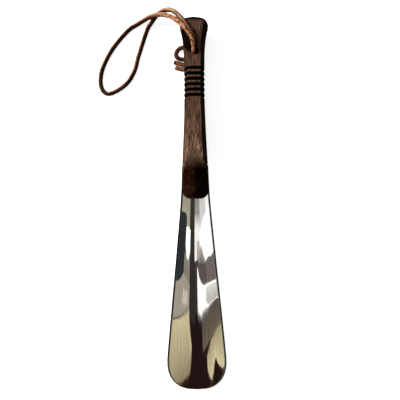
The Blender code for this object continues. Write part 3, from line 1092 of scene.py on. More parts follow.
    def round_ends(self, piece: bpy.types.Object) -> None:
        """Crowns the top end, and draws the lower half out to half an ellipse towards the shoulder.

        Args:
            piece: The bar.
        """
        moved = read(piece, "co")
        for row in moved:
            at_top = smoothstep(1 - (self.top_y - row[1]) / self.crown_run)
            if at_top > 0:
                self.swell_top(row, at_top)
            height = row[2] - self.middle_height
            amount = smoothstep(1 - (row[1] - self.shoulder_y) / self.round_back)
            if height < 0 and amount > 0:
                half_width, half_height = self.half_sizes(row[1])
                turn = math.atan2(height / half_height, row[0] / half_width)
                row[0] += amount * (half_width * math.cos(turn) - row[0])
                height += amount * (half_height * math.sin(turn) - height)
                row[2] = self.middle_height + height
        lay_out(piece, moved)

    def slope_cutter(self) -> bpy.types.Object:
        """All that lies in front of the nose's slope and past its end.

        Returns:
            The cutter.
        """
        step = self.nose_run / self.slope_steps
        slope = [self.crease_y - step * i for i in range(self.slope_steps + 1)]
        side = [(y, self.nose_height(y)) for y in slope]
        side = [(self.crease_y + self.clearance, self.front_height + self.overrun), *side]
        side += [(self.nose_y, -self.overrun), (self.nose_y - self.overrun, -self.overrun)]
        deselect()
        bpy.ops.mesh.primitive_grid_add(x_subdivisions=1, y_subdivisions=len(side) - 1, size=1)
        cutter = fresh("slope_cutter")
        wide = self.foot_width
        lay_out(cutter, [(x, y, z) for y, z in reversed(side) for x in (-wide, wide)])
        thicken_up(cutter, self.front_height * 2)
        return cutter

    def seat_cutter(self) -> bpy.types.Object:
        """A block less the room inside the trough: the wood that would stand where the steel is.

        Returns:
            The cutter.
        """
        low, high = self.nose_y - self.overrun, self.shoulder_y + self.overrun
        rows, columns = self.stations, self.blade.segments
        inset = self.blade.steel + self.gap
        deselect()
        bpy.ops.mesh.primitive_grid_add(x_subdivisions=columns, y_subdivisions=rows, size=1)
        room = fresh("trough_room")
        points = []
        for i in range(rows + 1):
            y = low + (high - low) * i / rows
            half_width = self.blade.half_width(y)
            for k in range(columns + 1):
                points.append(self.blade.on_trough(y, 2 * k / columns - 1, half_width, inset))
        lay_out(room, points)
        thicken_up(room, self.front_height * 3)
        deselect()
        depth, tall = self.shoulder_y - low - self.clearance, 2 * self.front_height
        bpy.ops.mesh.primitive_cube_add(
            size=1,
            location=(0, self.shoulder_y - depth / 2, self.front_height - self.overrun / 2),
            scale=(2 * self.foot_width, depth, tall),
        )
        block = fresh("seat_cutter")
        carve(block, room)
        return block

    def post(self, name: str, diameter: float, x: float, y: float) -> bpy.types.Object:
        """An upright round cutter through the whole horn.

        Args:
            name: The cutter's name.
            diameter: Its diameter.
            x: Where across the horn.
            y: Where along the horn.

        Returns:
            The cutter.
        """
        deselect()
        bpy.ops.mesh.primitive_cylinder_add(
            vertices=self.bore_sides,
            radius=diameter / 2,
            depth=4 * self.front_height,
            location=(x, y, self.front_height),
        )
        return fresh(name)

    def smooth_surface(self, piece: bpy.types.Object) -> None:
        """Turns the cut bar into one worn wooden surface, a little uneven from handwork.

        Args:
            piece: The cut bar.
        """
        apply(piece, "REMESH", mode="VOXEL", voxel_size=self.voxel, use_smooth_shade=True)
        apply(piece, "SMOOTH", factor=self.smoothing, iterations=self.smoothing_rounds)
        moved, facing = read(piece, "co"), read(piece, "normal")
        heights = [
            noise.noise(Vector((x, y / self.wave_stretch, z)) / self.wave_length)
            for x, y, z in moved
        ]
        moved += facing * (self.waviness * np.array(heights))[:, None]
        lay_out(piece, moved)

    def mark(self, piece: bpy.types.Object) -> None:
        """Stores the painted shade (on the right- and left-hand facets, the strands' shadow and the nose
        slope's right side), a darker top end, where the wood is burnt and where it is cut across its grain.

        Args:
            piece: The finished surface.
        """
        at, facing = read(piece, "co"), read(piece, "normal")
        x, y, z = at.T
        slope = np.array([self.nose_height(min(place, self.crease_y)) for place in y])
        near = 1 - ramp(slope - z, self.corner_radius)
        inside = ramp(self.crease_y - y, self.crease_fade)
        # painted shadow of the strands: how far each point lies from the patch's centre line
        start, reach = np.array(self.strand_shadow_ends[0]), np.subtract(*self.strand_shadow_ends[::-1])
        share = np.clip((at[:, :2] - start) @ reach / (reach @ reach), 0, 1)
        off = np.linalg.norm(at[:, :2] - start - share[:, None] * reach, axis=1)
        # painted shade on facets that face -X
        left_shade = self.left_shade_share * ramp(-facing[:, 0] - self.shade_turn, self.shade_turn)
        # painted shade on the right-hand facets, the strands' painted shadow, painted shade on the nose slope's
        # right side, a darker top end, and painted shade on the left-hand facets
        stains_and_painted_shade = [
            self.right_shade_share * ramp(facing[:, 0] - self.shade_turn, self.shade_turn),
            self.strand_shadow_share * ramp(self.strand_shadow_radius - off, self.shadow_and_top_fade) * (facing[:, 2] > 0),
            ramp(x - self.nose_shade_from, self.nose_shade_fade) * inside * near,
            self.top_share * ramp(y - self.top_y + self.top_reach, self.shadow_and_top_fade),
            left_shade * ramp(y - self.crease_y, self.left_shade_fade),
        ]
        give(piece, "painted_shade_and_dark_top", np.maximum.reduce(stains_and_painted_shade))
        away = np.abs(y[:, None] - np.array(self.ring_middles())).min(axis=1)
        give(piece, "burn", ramp(self.burn_reach - away, self.burn_fade))
        end = ramp(y - self.top_y + self.corner_radius, self.corner_radius)
        give(piece, "cut", np.maximum(near * inside, end))

    def build(self, finish: bpy.types.Material, holes: list[bpy.types.Object]) -> None:
        """Makes the handle.

        Args:
            finish: The wood.
            holes: Cutters for the rivets.
        """
        piece = self.bar()
        self.round_ends(piece)
        bore = self.post("bore_cutter", self.bore_diameter, self.bore_offset, self.bore_y)
        for cutter in (self.seat_cutter(), self.slope_cutter(), bore, *holes):
            carve(piece, cutter)
        self.smooth_surface(piece)
        self.mark(piece)
        hand_over(piece, Slot.WOOD, finish, "handle")


@dataclass
class Rivets:
    """Two steel pins through the nose and the blade, with their heads on the back."""

    blade: Blade
    handle: Handle
    shank: float = 0.0018
    offset: float = -0.0016
    below_shoulder: float = 0.0060
    spacing: float = 0.0125
    proud: float = 0.0002
    head: float = 0.0042
    head_height: float = 0.0010
    sides: int = 32
    dome_steps: int = 6
    dome_point: float = 0.12
    button_flat: float = 0.3
    smooth_angle: float = 40.0

    def spots(self) -> dict[str, float]:
        """The rivets' places along the horn, by CAD node."""
        first = self.handle.shoulder_y - self.below_shoulder
        return {"rivet_upper": first, "rivet_lower": first - self.spacing}

    def holes(self) -> list[bpy.types.Object]:
        """A cutter for each rivet, a little wider than its shank.

        Returns:
            The cutters, each to be used once.
        """
        wide = self.shank + 2 * self.handle.gap
        return [
            self.handle.post(node + "_hole", wide, self.offset, y)
            for node, y in self.spots().items()
        ]

    def shape(self, name: str, y: float) -> bpy.types.Object:
        """A shank whose lower end is drawn out to a domed head, and whose upper end is hammered over.

        Args:
            name: The piece's name.
            y: Where along the horn.

        Returns:
            The rivet.
        """
        radius = self.blade.radius(y)
        underside = self.blade.belly(y) + radius * (1 - math.cos(self.offset / radius))
        seat = underside - self.handle.gap - self.offset**2 / radius
        top = self.handle.nose_height(y) + self.proud
        deselect()
        bpy.ops.mesh.primitive_cylinder_add(
            vertices=self.sides,
            radius=self.shank / 2,
            depth=top - self.proud - seat,
            end_fill_type="NGON",
            location=(self.offset, y, (top - self.proud + seat) / 2),
        )
        piece = fresh(name)
        bpy.ops.object.mode_set(mode="EDIT")
        pick_faces(piece, lambda face: face.normal.z < -0.5)
        self.draw_out(y, seat, [(0.0, self.head / self.shank)])
        turns = [math.pi / 2 * i / self.dome_steps for i in range(1, self.dome_steps + 1)]
        dome = [(-self.head_height * math.sin(a), max(math.cos(a), self.dome_point)) for a in turns]
        self.draw_out(y, seat, dome)
        pick_faces(piece, lambda face: face.normal.z > 0.5 and face.calc_center_median().z > seat)
        button = [(self.proud * math.sin(a), max(math.cos(a), self.button_flat)) for a in turns]
        self.draw_out(y, top - self.proud, button)
        bpy.ops.object.mode_set(mode="OBJECT")
        face_outwards(piece)
        return piece

    def draw_out(self, y: float, base: float, steps: list[tuple[float, float]]) -> None:
        """Extrudes the picked face through steps of height and size.

        Args:
            y: The rivet's place.
            base: The height that the steps start from.
            steps: Height over the base, and size as a share of the picked face's.
        """
        height, size = 0.0, 1.0
        for rise, share in steps:
            bpy.ops.mesh.extrude_region_move(
                TRANSFORM_OT_translate={"value": (0, 0, rise - height)}
            )
            bpy.ops.transform.resize(
                value=(share / size, share / size, 1),
                center_override=(self.offset, y, base + rise),
            )
            height, size = rise, share

    def build(self, finish: bpy.types.Material) -> None:
        """Makes both rivets.

        Args:
            finish: The rivets' steel.
        """
        for node, y in self.spots().items():
            piece = self.shape("steel_" + node, y)
            smooth(piece, self.smooth_angle)
            hand_over(piece, Slot.RIVET, finish, node)


@dataclass(frozen=True)
class Nap:
    """How napped a strand is, from 0, waxed flat, to 1: a level all along, and more near its ends."""

    level: float = 0.0
    start: float = 0.0
    end: float = 0.0
    reach: float = 0.085
    fade: float = 0.03

    def at(self, along: np.ndarray) -> np.ndarray:
        """The nap at each distance along the strand."""
        start = self.start * ramp(self.reach - along, self.fade)
        end = self.end * ramp(self.reach - along[-1] + along, self.fade)
        return self.level + np.maximum(start, end)


@dataclass
class Strand:
    """One run of the leather cord, as a tube round the route that its CAD node has."""

    name: str
    node: str
    route: tuple[Point, ...]
    nap: Nap
    cut_ends: tuple[bool, bool] = (False, False)
    diameter: float = 0.0028
    step: float = 0.00024
    samples: int = 400
    waypoint_step: int = 4
    sides: int = 26
    rib_pitch: float = 0.00115
    # painted shade: which way the shaded side faces, where it starts and fades, how dark, and how much the nap
    # spares
    shade_way: Point = (0.80, -0.40, -0.45)
    shade_from: float = -0.42
    shade_fade: float = 0.55
    shade_share: float = 0.97
    nap_spares_shade: float = 0.92
    # painted highlight: which way the lit side faces, where it starts and fades, and how strong
    lit_way: Point = (-0.62, 0.58, 0.53)
    lit_from: float = 0.66
    lit_fade: float = 0.14
    lit_share: float = 1.0
    broad: float = 1.0
    broad_from: float = -0.0065
    broad_fade: float = 0.002
    rib_height: float = 0.00005
    rib_worn: float = 0.7
    nap_height: float = 0.00007
    nap_grain: float = 0.0007
    nap_stretch: float = 2.0
    waxed_rough: float = 0.25
    swell_place: tuple[float, float] = (0.3, 0.7)
    swell_length: float = 0.006
    swell_share: float = 0.02
    end_ease: float = 0.0005
    end_share: float = 0.8
    path: np.ndarray = field(init=False)

    def __post_init__(self) -> None:
        """Works out the centreline."""
        self.path = self.centreline()

    @property
    def length(self) -> float:
        """The length along the centreline."""
        return float(np.linalg.norm(np.diff(self.path, axis=0), axis=1).sum())

    def centreline(self) -> np.ndarray:
        """Points an even step apart on the smooth curve through the route.

        Returns:
            The points, one row each.
        """
        points = np.array([self.route[0], *self.route, self.route[-1]])
        count = self.samples * len(self.route)
        along = np.linspace(0, len(self.route) - 1, count)
        i = np.minimum(along.astype(int), len(self.route) - 2)
        t = (along - i)[:, None]
        a, b, c, d = (points[i + k] for k in range(4))
        fine = b + t * (c - a) / 2 + t**2 * (2 * a - 5 * b + 4 * c - d) / 2
        fine += t**3 * (3 * b - a - 3 * c + d) / 2
        walked = np.concatenate([[0], np.cumsum(np.linalg.norm(np.diff(fine, axis=0), axis=1))])
        even = np.linspace(0, walked[-1], max(int(walked[-1] / self.step), 2))
        return np.stack([np.interp(even, walked, fine[:, k]) for k in range(3)], axis=1)

    def frames(self) -> tuple[np.ndarray, np.ndarray]:
        """Two directions across the cord at each point, which turn as little as they can.

        The route doesn't start along X.

        Returns:
            One row for each point: sideways, and square to it and to the cord.
        """
        ahead = np.gradient(self.path, axis=0)
        ahead /= np.linalg.norm(ahead, axis=1)[:, None]
        side = np.array([1.0, 0.0, 0.0]) - ahead[0] * ahead[0][0]
        sides = []
        for direction in ahead:
            side = side - direction * np.dot(side, direction)
            side = side / np.linalg.norm(side)
            sides.append(side)
        sides = np.array(sides)
        return sides, np.cross(ahead, sides)

    def radii(self, along: np.ndarray, turn: np.ndarray, nap: np.ndarray) -> np.ndarray:
        """The radius at each point of the skin.

        Args:
            along: How far along the cord, for each ring.
            turn: The angle round the cord, for each side.
            nap: How napped each ring is.

        Returns:
            A radius for each ring and side.
        """
        half = self.diameter / 2
        ribs = np.sin(2 * math.pi * along[:, None] / self.rib_pitch + turn[None, :])
        swell = [noise.noise(Vector((*self.swell_place, s / self.swell_length))) for s in along]
        spots = [(half * math.cos(a), half * math.sin(a)) for a in turn]
        skin = [[Vector((x, y, s / self.nap_stretch)) for x, y in spots] for s in along]
        rough = np.array([[noise.noise(place / self.nap_grain) for place in ring] for ring in skin])
        rib_share = self.rib_height * (1 - self.rib_worn * nap)
        rough_share = self.nap_height * (self.waxed_rough + (1 - self.waxed_rough) * nap)
        radii = half - self.rib_height + rib_share[:, None] * ribs
        radii += rough_share[:, None] * rough
        radii += self.swell_share * half * np.array(swell)[:, None]
        for share in self.from_ends(along):
            eased = np.sqrt(1 - (1 - share) ** 2)
            radii *= (self.end_share + (1 - self.end_share) * eased)[:, None]
        return radii

    def from_ends(self, along: np.ndarray) -> list[np.ndarray]:
        """For each cut end, 0 at the end and 1 from end_ease on."""
        pairs = zip(self.cut_ends, (along, along[-1] - along))
        return [ramp(away, self.end_ease) for ended, away in pairs if ended]

    def shape(self) -> bpy.types.Object:
        """The tube with its stored places, nap and cut ends.

        Returns:
            The strand.
        """
        side, up = self.frames()
        along = np.linspace(0, self.length, len(self.path))
        turn = np.linspace(0, 2 * math.pi, self.sides, endpoint=False)
        nap = self.nap.at(along)
        radii = self.radii(along, turn, nap)
        across = np.cos(turn)[None, :, None] * side[:, None, :]
        across = across + np.sin(turn)[None, :, None] * up[:, None, :]
        left = ramp(self.broad_from - self.path[:, 0], self.broad_fade)
        spread = left * left * (3 - 2 * left)
        across[:, :, :2] *= (1 + (self.broad - 1) * spread)[:, None, None]
        skin = self.path[:, None, :] + radii[:, :, None] * across
        rings, sides = radii.shape
        quads = [
            (
                i * sides + k,
                i * sides + (k + 1) % sides,
                (i + 1) * sides + (k + 1) % sides,
                (i + 1) * sides + k,
            )
            for i in range(rings - 1)
            for k in range(sides)
        ]
        first, last = rings * sides, rings * sides + 1
        lids = [((k + 1) % sides, k, first) for k in range(sides)]
        base = (rings - 1) * sides
        lids += [(base + k, base + (k + 1) % sides, last) for k in range(sides)]
        points = np.concatenate([skin.reshape(-1, 3), self.path[:1], self.path[-1:]])
        mesh = bpy.data.meshes.new(self.name)
        mesh.from_pydata(points.tolist(), [], quads + lids)
        mesh.shade_smooth()
        piece = bpy.data.objects.new(self.name, mesh)
        bpy.context.scene.collection.objects.link(piece)
        rolled = np.broadcast_arrays(
            self.diameter / 2 * np.cos(turn)[None, :],
            self.diameter / 2 * np.sin(turn)[None, :],
            along[:, None],
        )
        rolled = np.stack(rolled, axis=2).reshape(-1, 3)
        give(piece, "rolled", np.concatenate([rolled, [[0, 0, 0], [0, 0, self.length]]]))
        napped = np.concatenate([np.repeat(nap, sides), nap[[0, -1]]])
        give(piece, "nap", napped)
        ends = np.maximum.reduce([0 * along, *(1 - share for share in self.from_ends(along))])
        give(piece, "end", np.concatenate([np.repeat(ends, sides), ends[[0, -1]]]))
        face_outwards(piece)
        facing = read(piece, "normal")
        # painted shade on the side of the cord away from the key light, less where it is napped
        painted_shade = ramp(facing @ np.array(self.shade_way) - self.shade_from, self.shade_fade)
        give(piece, "painted_shade", self.shade_share * painted_shade * (1 - self.nap_spares_shade * napped))
        # painted highlight on the side of the cord that faces the key light, none where it is napped
        lit = ramp(facing @ np.array(self.lit_way) - self.lit_from, self.lit_fade)
        give(piece, "lit", self.lit_share * lit * (1 - napped))
        return piece

    def waypoints(self) -> list[list[float]]:
        """Points along the centreline, in order, to its end."""
        return [*self.path[:: self.waypoint_step].tolist(), self.path[-1].tolist()]

    def build(self, finish: bpy.types.Material) -> bpy.types.Object:
        """The finished strand, standing for its CAD node."""
        return hand_over(self.shape(), Slot.LEATHER, finish, self.node)


LOOP_ROUTE: tuple[Point, ...] = (
    (-0.00054, 0.12284, 0.0080),
    (-0.00054, 0.12284, 0.0232),
    (-0.00055, 0.1233, 0.0260),
    (-0.0005, 0.1251, 0.0285),
    (-0.0009, 0.1280, 0.0301),
    (-0.0018, 0.1312, 0.0308),
    (-0.0048, 0.1361, 0.0309),
    (-0.0091, 0.1418, 0.0292),
    (-0.0145, 0.1481, 0.0254),
    (-0.0209, 0.1535, 0.0200),
    (-0.0275, 0.1570, 0.0147),
    (-0.0338, 0.1588, 0.0093),
    (-0.0403, 0.1584, 0.0047),
    (-0.0474, 0.1557, 0.0021),
    (-0.0557, 0.1506, 0.0014),
    (-0.0679, 0.1365, 0.0014),
    (-0.0760, 0.1221, 0.0014),
    (-0.0790, 0.1100, 0.0014),
    (-0.0774, 0.1011, 0.0014),
    (-0.0723, 0.0979, 0.0014),
    (-0.0642, 0.1010, 0.0014),
    (-0.0561, 0.1074, 0.0014),
    (-0.0504, 0.1170, 0.0014),
    (-0.0470, 0.1290, 0.0014),
    (-0.0399, 0.1501, 0.0016),
    (-0.0363, 0.1553, 0.0032),
    (-0.0326, 0.1586, 0.0058),
    (-0.0286, 0.1607, 0.0094),
    (-0.0243, 0.1608, 0.0138),
    (-0.0197, 0.1592, 0.0178),
    (-0.0152, 0.1555, 0.0218),
    (-0.0110, 0.1502, 0.0254),
    (-0.0066, 0.1441, 0.0278),
    (-0.0026, 0.1380, 0.0288),
    (0.0003, 0.1331, 0.0288),
    (0.0016, 0.1288, 0.0276),
    (0.0015, 0.1266, 0.0258),
    (0.00135, 0.1256, 0.0240),
    (0.00134, 0.12535, 0.0214),
    (0.00134, 0.12535, 0.0080),
)
KNOT_ROUTE: tuple[Point, ...] = (
    (0.00134, 0.12535, 0.0076),
    (0.00125, 0.1255, 0.0064),
    (0.0005, 0.1265, 0.0050),
    (-0.0014, 0.1288, 0.0046),
    (-0.0044, 0.1321, 0.0043),
    (-0.0077, 0.1347, 0.0038),
    (-0.0113, 0.1351, 0.0028),
    (-0.0140, 0.1335, 0.0021),
    (-0.0153, 0.1308, 0.0017),
    (-0.0149, 0.1282, 0.0017),
    (-0.0126, 0.1266, 0.0017),
    (-0.0086, 0.1260, 0.0016),
    (-0.0040, 0.1266, 0.0014),
    (0.0004, 0.1271, 0.0014),
    (0.0042, 0.1264, 0.0014),
    (0.0066, 0.1239, 0.0014),
    (0.0064, 0.1208, 0.0014),
    (0.0037, 0.1187, 0.0014),
    (-0.0004, 0.1188, 0.0014),
    (-0.0045, 0.1203, 0.0014),
    (-0.0090, 0.1216, 0.0016),
    (-0.0132, 0.1226, 0.0017),
    (-0.0172, 0.1238, 0.0017),
)
TAIL_ROUTE: tuple[Point, ...] = (
    (-0.00054, 0.12284, 0.0076),
    (-0.00045, 0.1227, 0.0064),
    (0.0002, 0.1216, 0.0050),
    (0.0008, 0.1195, 0.0047),
    (0.0003, 0.1173, 0.0047),
    (-0.0022, 0.1157, 0.0046),
    (-0.0056, 0.1158, 0.0040),
    (-0.0088, 0.1171, 0.0029),
    (-0.0122, 0.1182, 0.0020),
    (-0.0160, 0.1191, 0.0017),
)


@dataclass
class Thong:
    """The leather cord: its loop, the knot's turn behind the handle, and the second tail."""

    handle: Handle
    loop: Strand = field(
        default_factory=lambda: Strand(
            "leather_loop",
            "thong_loop",
            LOOP_ROUTE,
            Nap(start=1.0, end=0.1),
            broad=1.38,
        )
    )
    knot: Strand = field(
        default_factory=lambda: Strand(
            "leather_knot",
            "thong_knot",
            KNOT_ROUTE,
            Nap(level=0.12, end=0.3, reach=0.018, fade=0.008),
            (False, True),
            broad=1.35,
            lit_share=0.3,
        )
    )
    tail: Strand = field(
        default_factory=lambda: Strand(
            "leather_tail",
            "thong_tail",
            TAIL_ROUTE,
            Nap(level=0.5),
            (False, True),
            broad=1.4,
        )
    )

    def build(self, finish: bpy.types.Material) -> None:
        """Args:
            finish: The leather.
        """
        loop, knot, tail = (s.build(finish) for s in (self.loop, self.knot, self.tail))
        self.loop.waypoints()
        self.knot.waypoints()
        for strand in (self.loop, self.knot, self.tail):
            LOG.info("%s: %.4f m long", strand.name, strand.length)


# Studio


@dataclass(frozen=True)
class Lamp:
    """A soft square lamp that looks at the horn."""

    name: str
    place: Point
    power: float
    size: float

    def build(self) -> None:
        """Hangs the lamp, unseen in the steel."""
        data = bpy.data.lights.new(self.name, "AREA")
        data.energy, data.size = self.power, self.size
        lamp = bpy.data.objects.new(self.name, data)
        lamp.location = self.place
        lamp.rotation_euler = (-Vector(self.place)).to_track_quat("-Z", "Y").to_euler()
        lamp.visible_glossy = False
        bpy.context.scene.collection.objects.link(lamp)


@dataclass(frozen=True)
class Card:
    """A sheet of the studio on a wide tube round the horn's axis, which only mirrors see.

    Its edges are pairs of turn and y: degrees from straight up towards +X, and the place along the horn.
    """

    name: str
    upper: Edge
    lower: Edge
    tint: Tint
    low_tint: Tint | None = None
    column: float = 1.0

    def build(self, reach: float) -> None:
        """Hangs the sheet, which shades from its upper edge's tint to its lower one's.

        Args:
            reach: The tube's radius.
        """
        corners = sorted({turn for turn, _ in self.upper + self.lower})
        count = max(int((corners[-1] - corners[0]) / self.column), 1)
        turns = sorted({*corners, *np.linspace(corners[0], corners[-1], count + 1).tolist()})
        deselect()
        bpy.ops.mesh.primitive_grid_add(x_subdivisions=len(turns) - 1, y_subdivisions=1, size=1)
        card = fresh(self.name)
        points = []
        for edge in (self.upper, self.lower):
            known = sorted(edge)
            for turn in turns:
                y = float(np.interp(turn, [t for t, _ in known], [y for _, y in known]))
                a = math.radians(turn)
                points.append((reach * math.sin(a), y, reach * math.cos(a)))
        lay_out(card, points)
        tints = [self.tint] * len(turns) + [self.low_tint or self.tint] * len(turns)
        give(card, "tint", np.array(tints))
        nodes = Nodes(self.name)
        glow = nodes.add("Emission")
        stored = nodes.add("Attribute", attribute_name="tint")
        nodes.feed(glow.inputs["Color"], stored.outputs["Color"])
        nodes.feed(nodes.tree.nodes["Material Output"].inputs["Surface"], glow.outputs[0])
        card.data.materials.append(nodes.material)
        card.visible_camera = card.visible_diffuse = card.visible_shadow = False
        card.visible_transmission = card.visible_volume_scatter = False


def band(start: float, end: float, y: float) -> Edge:
    """A straight edge from one turn to another."""
    return ((start, y), (end, y))


WHITE: Tint = (1.7, 1.7, 1.66)
LOW_RIGHT_SHORE: Edge = (
    (-92, -0.470), (-84, -0.4687), (-60, -0.4624), (-43, -0.455), (-32, -0.4484), (-22, -0.4434),
    (-17, -0.4432), (-12, -0.4405), (-5, -0.4385),
)
LOW_LEFT_SHORE: Edge = (
    (24, -0.4431), (31, -0.4486), (41, -0.4589), (54, -0.4763), (69, -0.4963), (87, -0.519),
)
PATCH_FOOT: Edge = (
    (-106, -0.415), (-84, -0.4204), (-69, -0.4217), (-52, -0.4203), (-42, -0.4182), (-31, -0.4180),
    (-24, -0.4137), (-17, -0.4065), (-11, -0.3958), (-7, -0.3759),
)
LILAC_FOOT: Edge = (
    (-112, -0.060), (-83, -0.1095), (-65, -0.143), (-49, -0.169), (-38, -0.1885), (-30, -0.216),
    (-24, -0.239), (-18, -0.250),
)
CARDS: tuple[Card, ...] = (
    Card("room", band(-112, 112, 0.35), band(-112, 112, -0.80), (0.036, 0.043, 0.050)),
    Card(
        "room_far",
        band(-112, 112, 5.0),
        band(-112, 112, 0.35),
        (0.62, 0.61, 0.59),
        (0.20, 0.20, 0.21),
    ),
    Card(
        "room_near",
        band(-112, 112, -0.80),
        band(-112, 112, -5.0),
        (0.16, 0.15, 0.15),
        (0.60, 0.58, 0.55),
    ),
    Card("dark_low", band(-112, 112, -0.435), band(-112, 112, -0.80), (0.022, 0.010, 0.010)),
    Card(
        "stripe",
        band(4.5, 34, 0.05),
        band(4.5, 34, -0.445),
        (0.062, 0.056, 0.052),
        (0.042, 0.038, 0.038),
    ),
    Card(
        "lilac_right",
        band(-64, -6, 0.30),
        band(-64, -6, -0.250),
        (0.36, 0.33, 0.38),
        (1.10, 1.06, 1.08),
    ),
    Card(
        "lilac_side",
        band(-112, -60, 0.30),
        band(-112, -60, -0.160),
        (0.80, 0.77, 0.82),
        (1.45, 1.43, 1.45),
    ),
    Card("window_right", LILAC_FOOT, ((-112, -0.33), (-14, -0.38)), WHITE),
    Card("beige_strip", band(-23, 4, 0.05), band(-23, 4, -0.222), (0.27, 0.25, 0.21), (0.56, 0.52, 0.46)),
    Card(
        "pale_strip",
        band(-22, 5, -0.150),
        band(-20, 5, -0.235),
        (0.36, 0.34, 0.29),
        (1.40, 1.36, 1.30),
    ),
    Card("white_strip", band(-20, 5, -0.235), ((-13, -0.348), (5.5, -0.358)), (1.40, 1.36, 1.30)),
    Card(
        "beige_tongue",
        band(-15, -8, -0.285),
        band(-17, -5, -0.352),
        (0.85, 0.80, 0.70),
        (0.40, 0.36, 0.33),
    ),
    Card(
        "grey_haze",
        ((-41, -0.350), (-37, -0.345), (-30, -0.321), (-23, -0.299), (-14, -0.331)),
        band(-41, -9, -0.372),
        (0.70, 0.66, 0.62),
        (0.16, 0.13, 0.12),
    ),
    Card(
        "grey_patch",
        ((-112, -0.311), (-87, -0.322), (-70, -0.342), (-55, -0.344), (-44, -0.356), (-40, -0.360)),
        PATCH_FOOT[:5],
        (0.24, 0.21, 0.20),
        (0.22, 0.19, 0.18),
    ),
    Card(
        "brown_patch",
        ((-42, -0.362), (-28, -0.366), (-7, -0.360)),
        PATCH_FOOT[4:],
        (0.15, 0.12, 0.11),
        (0.15, 0.125, 0.12),
    ),
    Card(
        "brown_middle",
        band(-8, 4, -0.358),
        band(-6, 4, -0.4385),
        (0.095, 0.068, 0.060),
        (0.070, 0.048, 0.042),
    ),
    Card("white_low", PATCH_FOOT, LOW_RIGHT_SHORE, WHITE),
    Card(
        "streaks",
        ((-99, -0.4285), (-63, -0.4267), (-41, -0.4237)),
        ((-92, -0.4665), (-60, -0.4605), (-43, -0.4535), (-35, -0.4455)),
        (1.10, 1.08, 1.02),
        (0.68, 0.66, 0.60),
    ),
    Card(
        "taupe_low_right",
        LOW_RIGHT_SHORE[:-3],
        ((-92, -0.530), (-82, -0.521), (-57, -0.4985), (-43, -0.4847), (-29, -0.4772), (-17, -0.4725)),
        (0.13, 0.11, 0.095),
        (0.21, 0.17, 0.12),
    ),
    Card(
        "khaki_low_right",
        ((-92, -0.530), (-82, -0.521), (-57, -0.4985), (-43, -0.4865), (-28, -0.4869)),
        ((-92, -0.620), (-73, -0.5892), (-67, -0.5733), (-58, -0.5468), (-53, -0.5267),
         (-48, -0.5257), (-43, -0.5296), (-38, -0.5289), (-33, -0.5168), (-29, -0.5027)),
        (0.54, 0.45, 0.27),
        (1.0, 0.87, 0.54),
    ),
    Card(
        "khaki_left_top",
        band(30, 112, 0.30),
        ((30, -0.232), (47, -0.226), (48, -0.185), (50, -0.170), (57, -0.158), (77, -0.150), (104, -0.141)),
        (0.28, 0.26, 0.20),
        (0.54, 0.50, 0.40),
    ),
    Card(
        "window_left",
        ((27, -0.238), (33, -0.228), (38, -0.222), (47, -0.226)),
        ((26, -0.326), (34, -0.357), (42, -0.345), (48.5, -0.300)),
        WHITE,
    ),
    Card(
        "khaki_left_side",
        ((26, -0.326), (34, -0.357), (42, -0.345), (50, -0.330)),
        band(25.5, 51, -0.43),
        (0.37, 0.34, 0.30),
        (0.34, 0.30, 0.25),
    ),
    Card(
        "lilac_low_left",
        ((25, -0.415), (51, -0.396), (55, -0.4023), (63, -0.4165), (74, -0.4248), (91, -0.428)),
        LOW_LEFT_SHORE,
        (0.52, 0.47, 0.38),
        (0.50, 0.45, 0.39),
    ),
    Card("lilac_light", ((31, -0.430), (47, -0.431)), ((31, -0.4455), (49, -0.4575)), (0.80, 0.74, 0.64)),
    Card(
        "khaki_low_left",
        ((13.5, -0.4648), (19, -0.455), *LOW_LEFT_SHORE),
        ((14, -0.470), (14.5, -0.4822), (17, -0.4929), (29, -0.5121), (38, -0.5319), (47, -0.5531),
         (55, -0.585), (65, -0.6242), (92, -0.66)),
        (0.88, 0.77, 0.48),
        (0.40, 0.325, 0.20),
    ),
    Card(
        "seam_low_left",
        LOW_LEFT_SHORE,
        tuple((turn, y - 0.00004 * turn) for turn, y in LOW_LEFT_SHORE),
        (0.05, 0.04, 0.035),
    ),
)


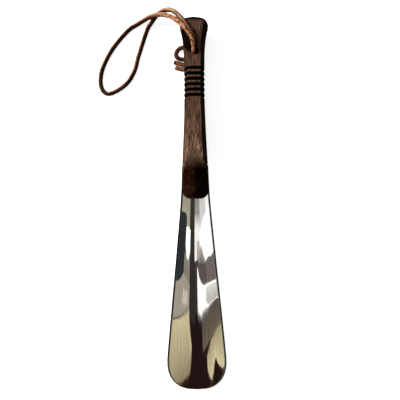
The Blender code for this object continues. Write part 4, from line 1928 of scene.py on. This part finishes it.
@dataclass
class Studio:
    """A pale table, soft lamps, a white surround, and the camera straight above."""

    camera_place: Point = (0.0037, 0.00794, 0.29725)
    camera_roll: float = -0.5
    view_angle: float = 59.2
    floor_size: float = 6.0
    floor_colour: Colour = (0.8, 0.8, 0.8, 1.0)
    floor_lift: float = 0.80
    surround: Colour = (1.0, 1.0, 1.0, 1.0)
    plain_level: float = 0.18
    lamps: tuple[Lamp, ...] = (
        Lamp("key_lamp", (-0.66, 0.34, 0.66), 11.0, 0.22),
        Lamp("top_lamp", (-0.1, 0.2, 0.9), 0.8, 0.6),
    )
    cards: tuple[Card, ...] = CARDS
    card_gap: float = 0.0001
    near_clip: float = 0.01

    def camera(self) -> None:
        """The camera at the photograph's angle."""
        data = bpy.data.cameras.new("camera")
        data.angle = math.radians(self.view_angle)
        data.clip_start = self.near_clip
        camera = bpy.data.objects.new("camera", data)
        camera.location = self.camera_place
        camera.rotation_euler = (0, 0, math.radians(self.camera_roll))
        bpy.context.scene.collection.objects.link(camera)
        bpy.context.scene.camera = camera

    def mirror_or_camera(self, tree: bpy.types.NodeTree) -> bpy.types.NodeSocket:
        """1 for what the camera sees, straight or in a mirror, and 0 for the light on things.

        Args:
            tree: The tree that the nodes are added to.

        Returns:
            The value.
        """
        path = tree.nodes.new("ShaderNodeLightPath")
        seen = path.outputs["Is Camera Ray"]
        for name in ("Is Glossy Ray", "Is Transmission Ray"):
            most = tree.nodes.new("ShaderNodeMath")
            most.operation = "MAXIMUM"
            tree.links.new(seen, most.inputs[0])
            tree.links.new(path.outputs[name], most.inputs[1])
            seen = most.outputs[0]
        return seen

    def floor(self) -> None:
        """The pale table, which keeps the shadows."""
        deselect()
        bpy.ops.mesh.primitive_plane_add(size=self.floor_size)
        floor = bpy.context.object
        floor.name = "table_top"
        nodes = Nodes("table top")
        tree = nodes.tree
        nodes.shade(Base_Color=self.floor_colour, Roughness=1.0, Specular_IOR_Level=0.0)
        glow = nodes.add("Emission")
        lift = nodes.maths("MULTIPLY", self.mirror_or_camera(tree), self.floor_lift)
        nodes.feed(glow.inputs["Strength"], lift)
        both = nodes.add("AddShader")
        nodes.feed(both.inputs[0], nodes.shader.outputs[0])
        nodes.feed(both.inputs[1], glow.outputs[0])
        nodes.feed(tree.nodes["Material Output"].inputs["Surface"], both.outputs[0])
        floor.data.materials.append(nodes.material)

    def world(self) -> None:
        """White where it is seen, and a plain level of light on things."""
        world = bpy.data.worlds.new("surround")
        world.use_nodes = True
        bpy.context.scene.world = world
        tree = world.node_tree
        sky = tree.nodes["Background"]
        sky.inputs["Color"].default_value = self.surround
        rise = tree.nodes.new("ShaderNodeMapRange")
        tree.links.new(self.mirror_or_camera(tree), rise.inputs["Value"])
        rise.inputs["To Min"].default_value = self.plain_level
        rise.inputs["To Max"].default_value = 1.0
        tree.links.new(rise.outputs["Result"], sky.inputs["Strength"])

    def build(self) -> None:
        """The whole studio."""
        bpy.context.scene.view_settings.view_transform = "Standard"
        self.camera()
        self.floor()
        self.world()
        for lamp in self.lamps:
            lamp.build()
        for i, card in enumerate(self.cards):
            card.build(1 - i * self.card_gap)


def main() -> None:
    """Builds the studio and the horn, piece by piece."""
    logging.basicConfig(level=logging.INFO, format="%(message)s")
    Studio().build()
    blade = Blade()
    handle = Handle(blade)
    rivets = Rivets(blade, handle)
    Thong(handle).build(LeatherFinish().material())
    blade.build(SteelFinish().material(), rivets.holes())
    handle.build(WoodFinish().material(), rivets.holes())
    rivets.build(RivetFinish().material())


if __name__ == "__main__":
    main()
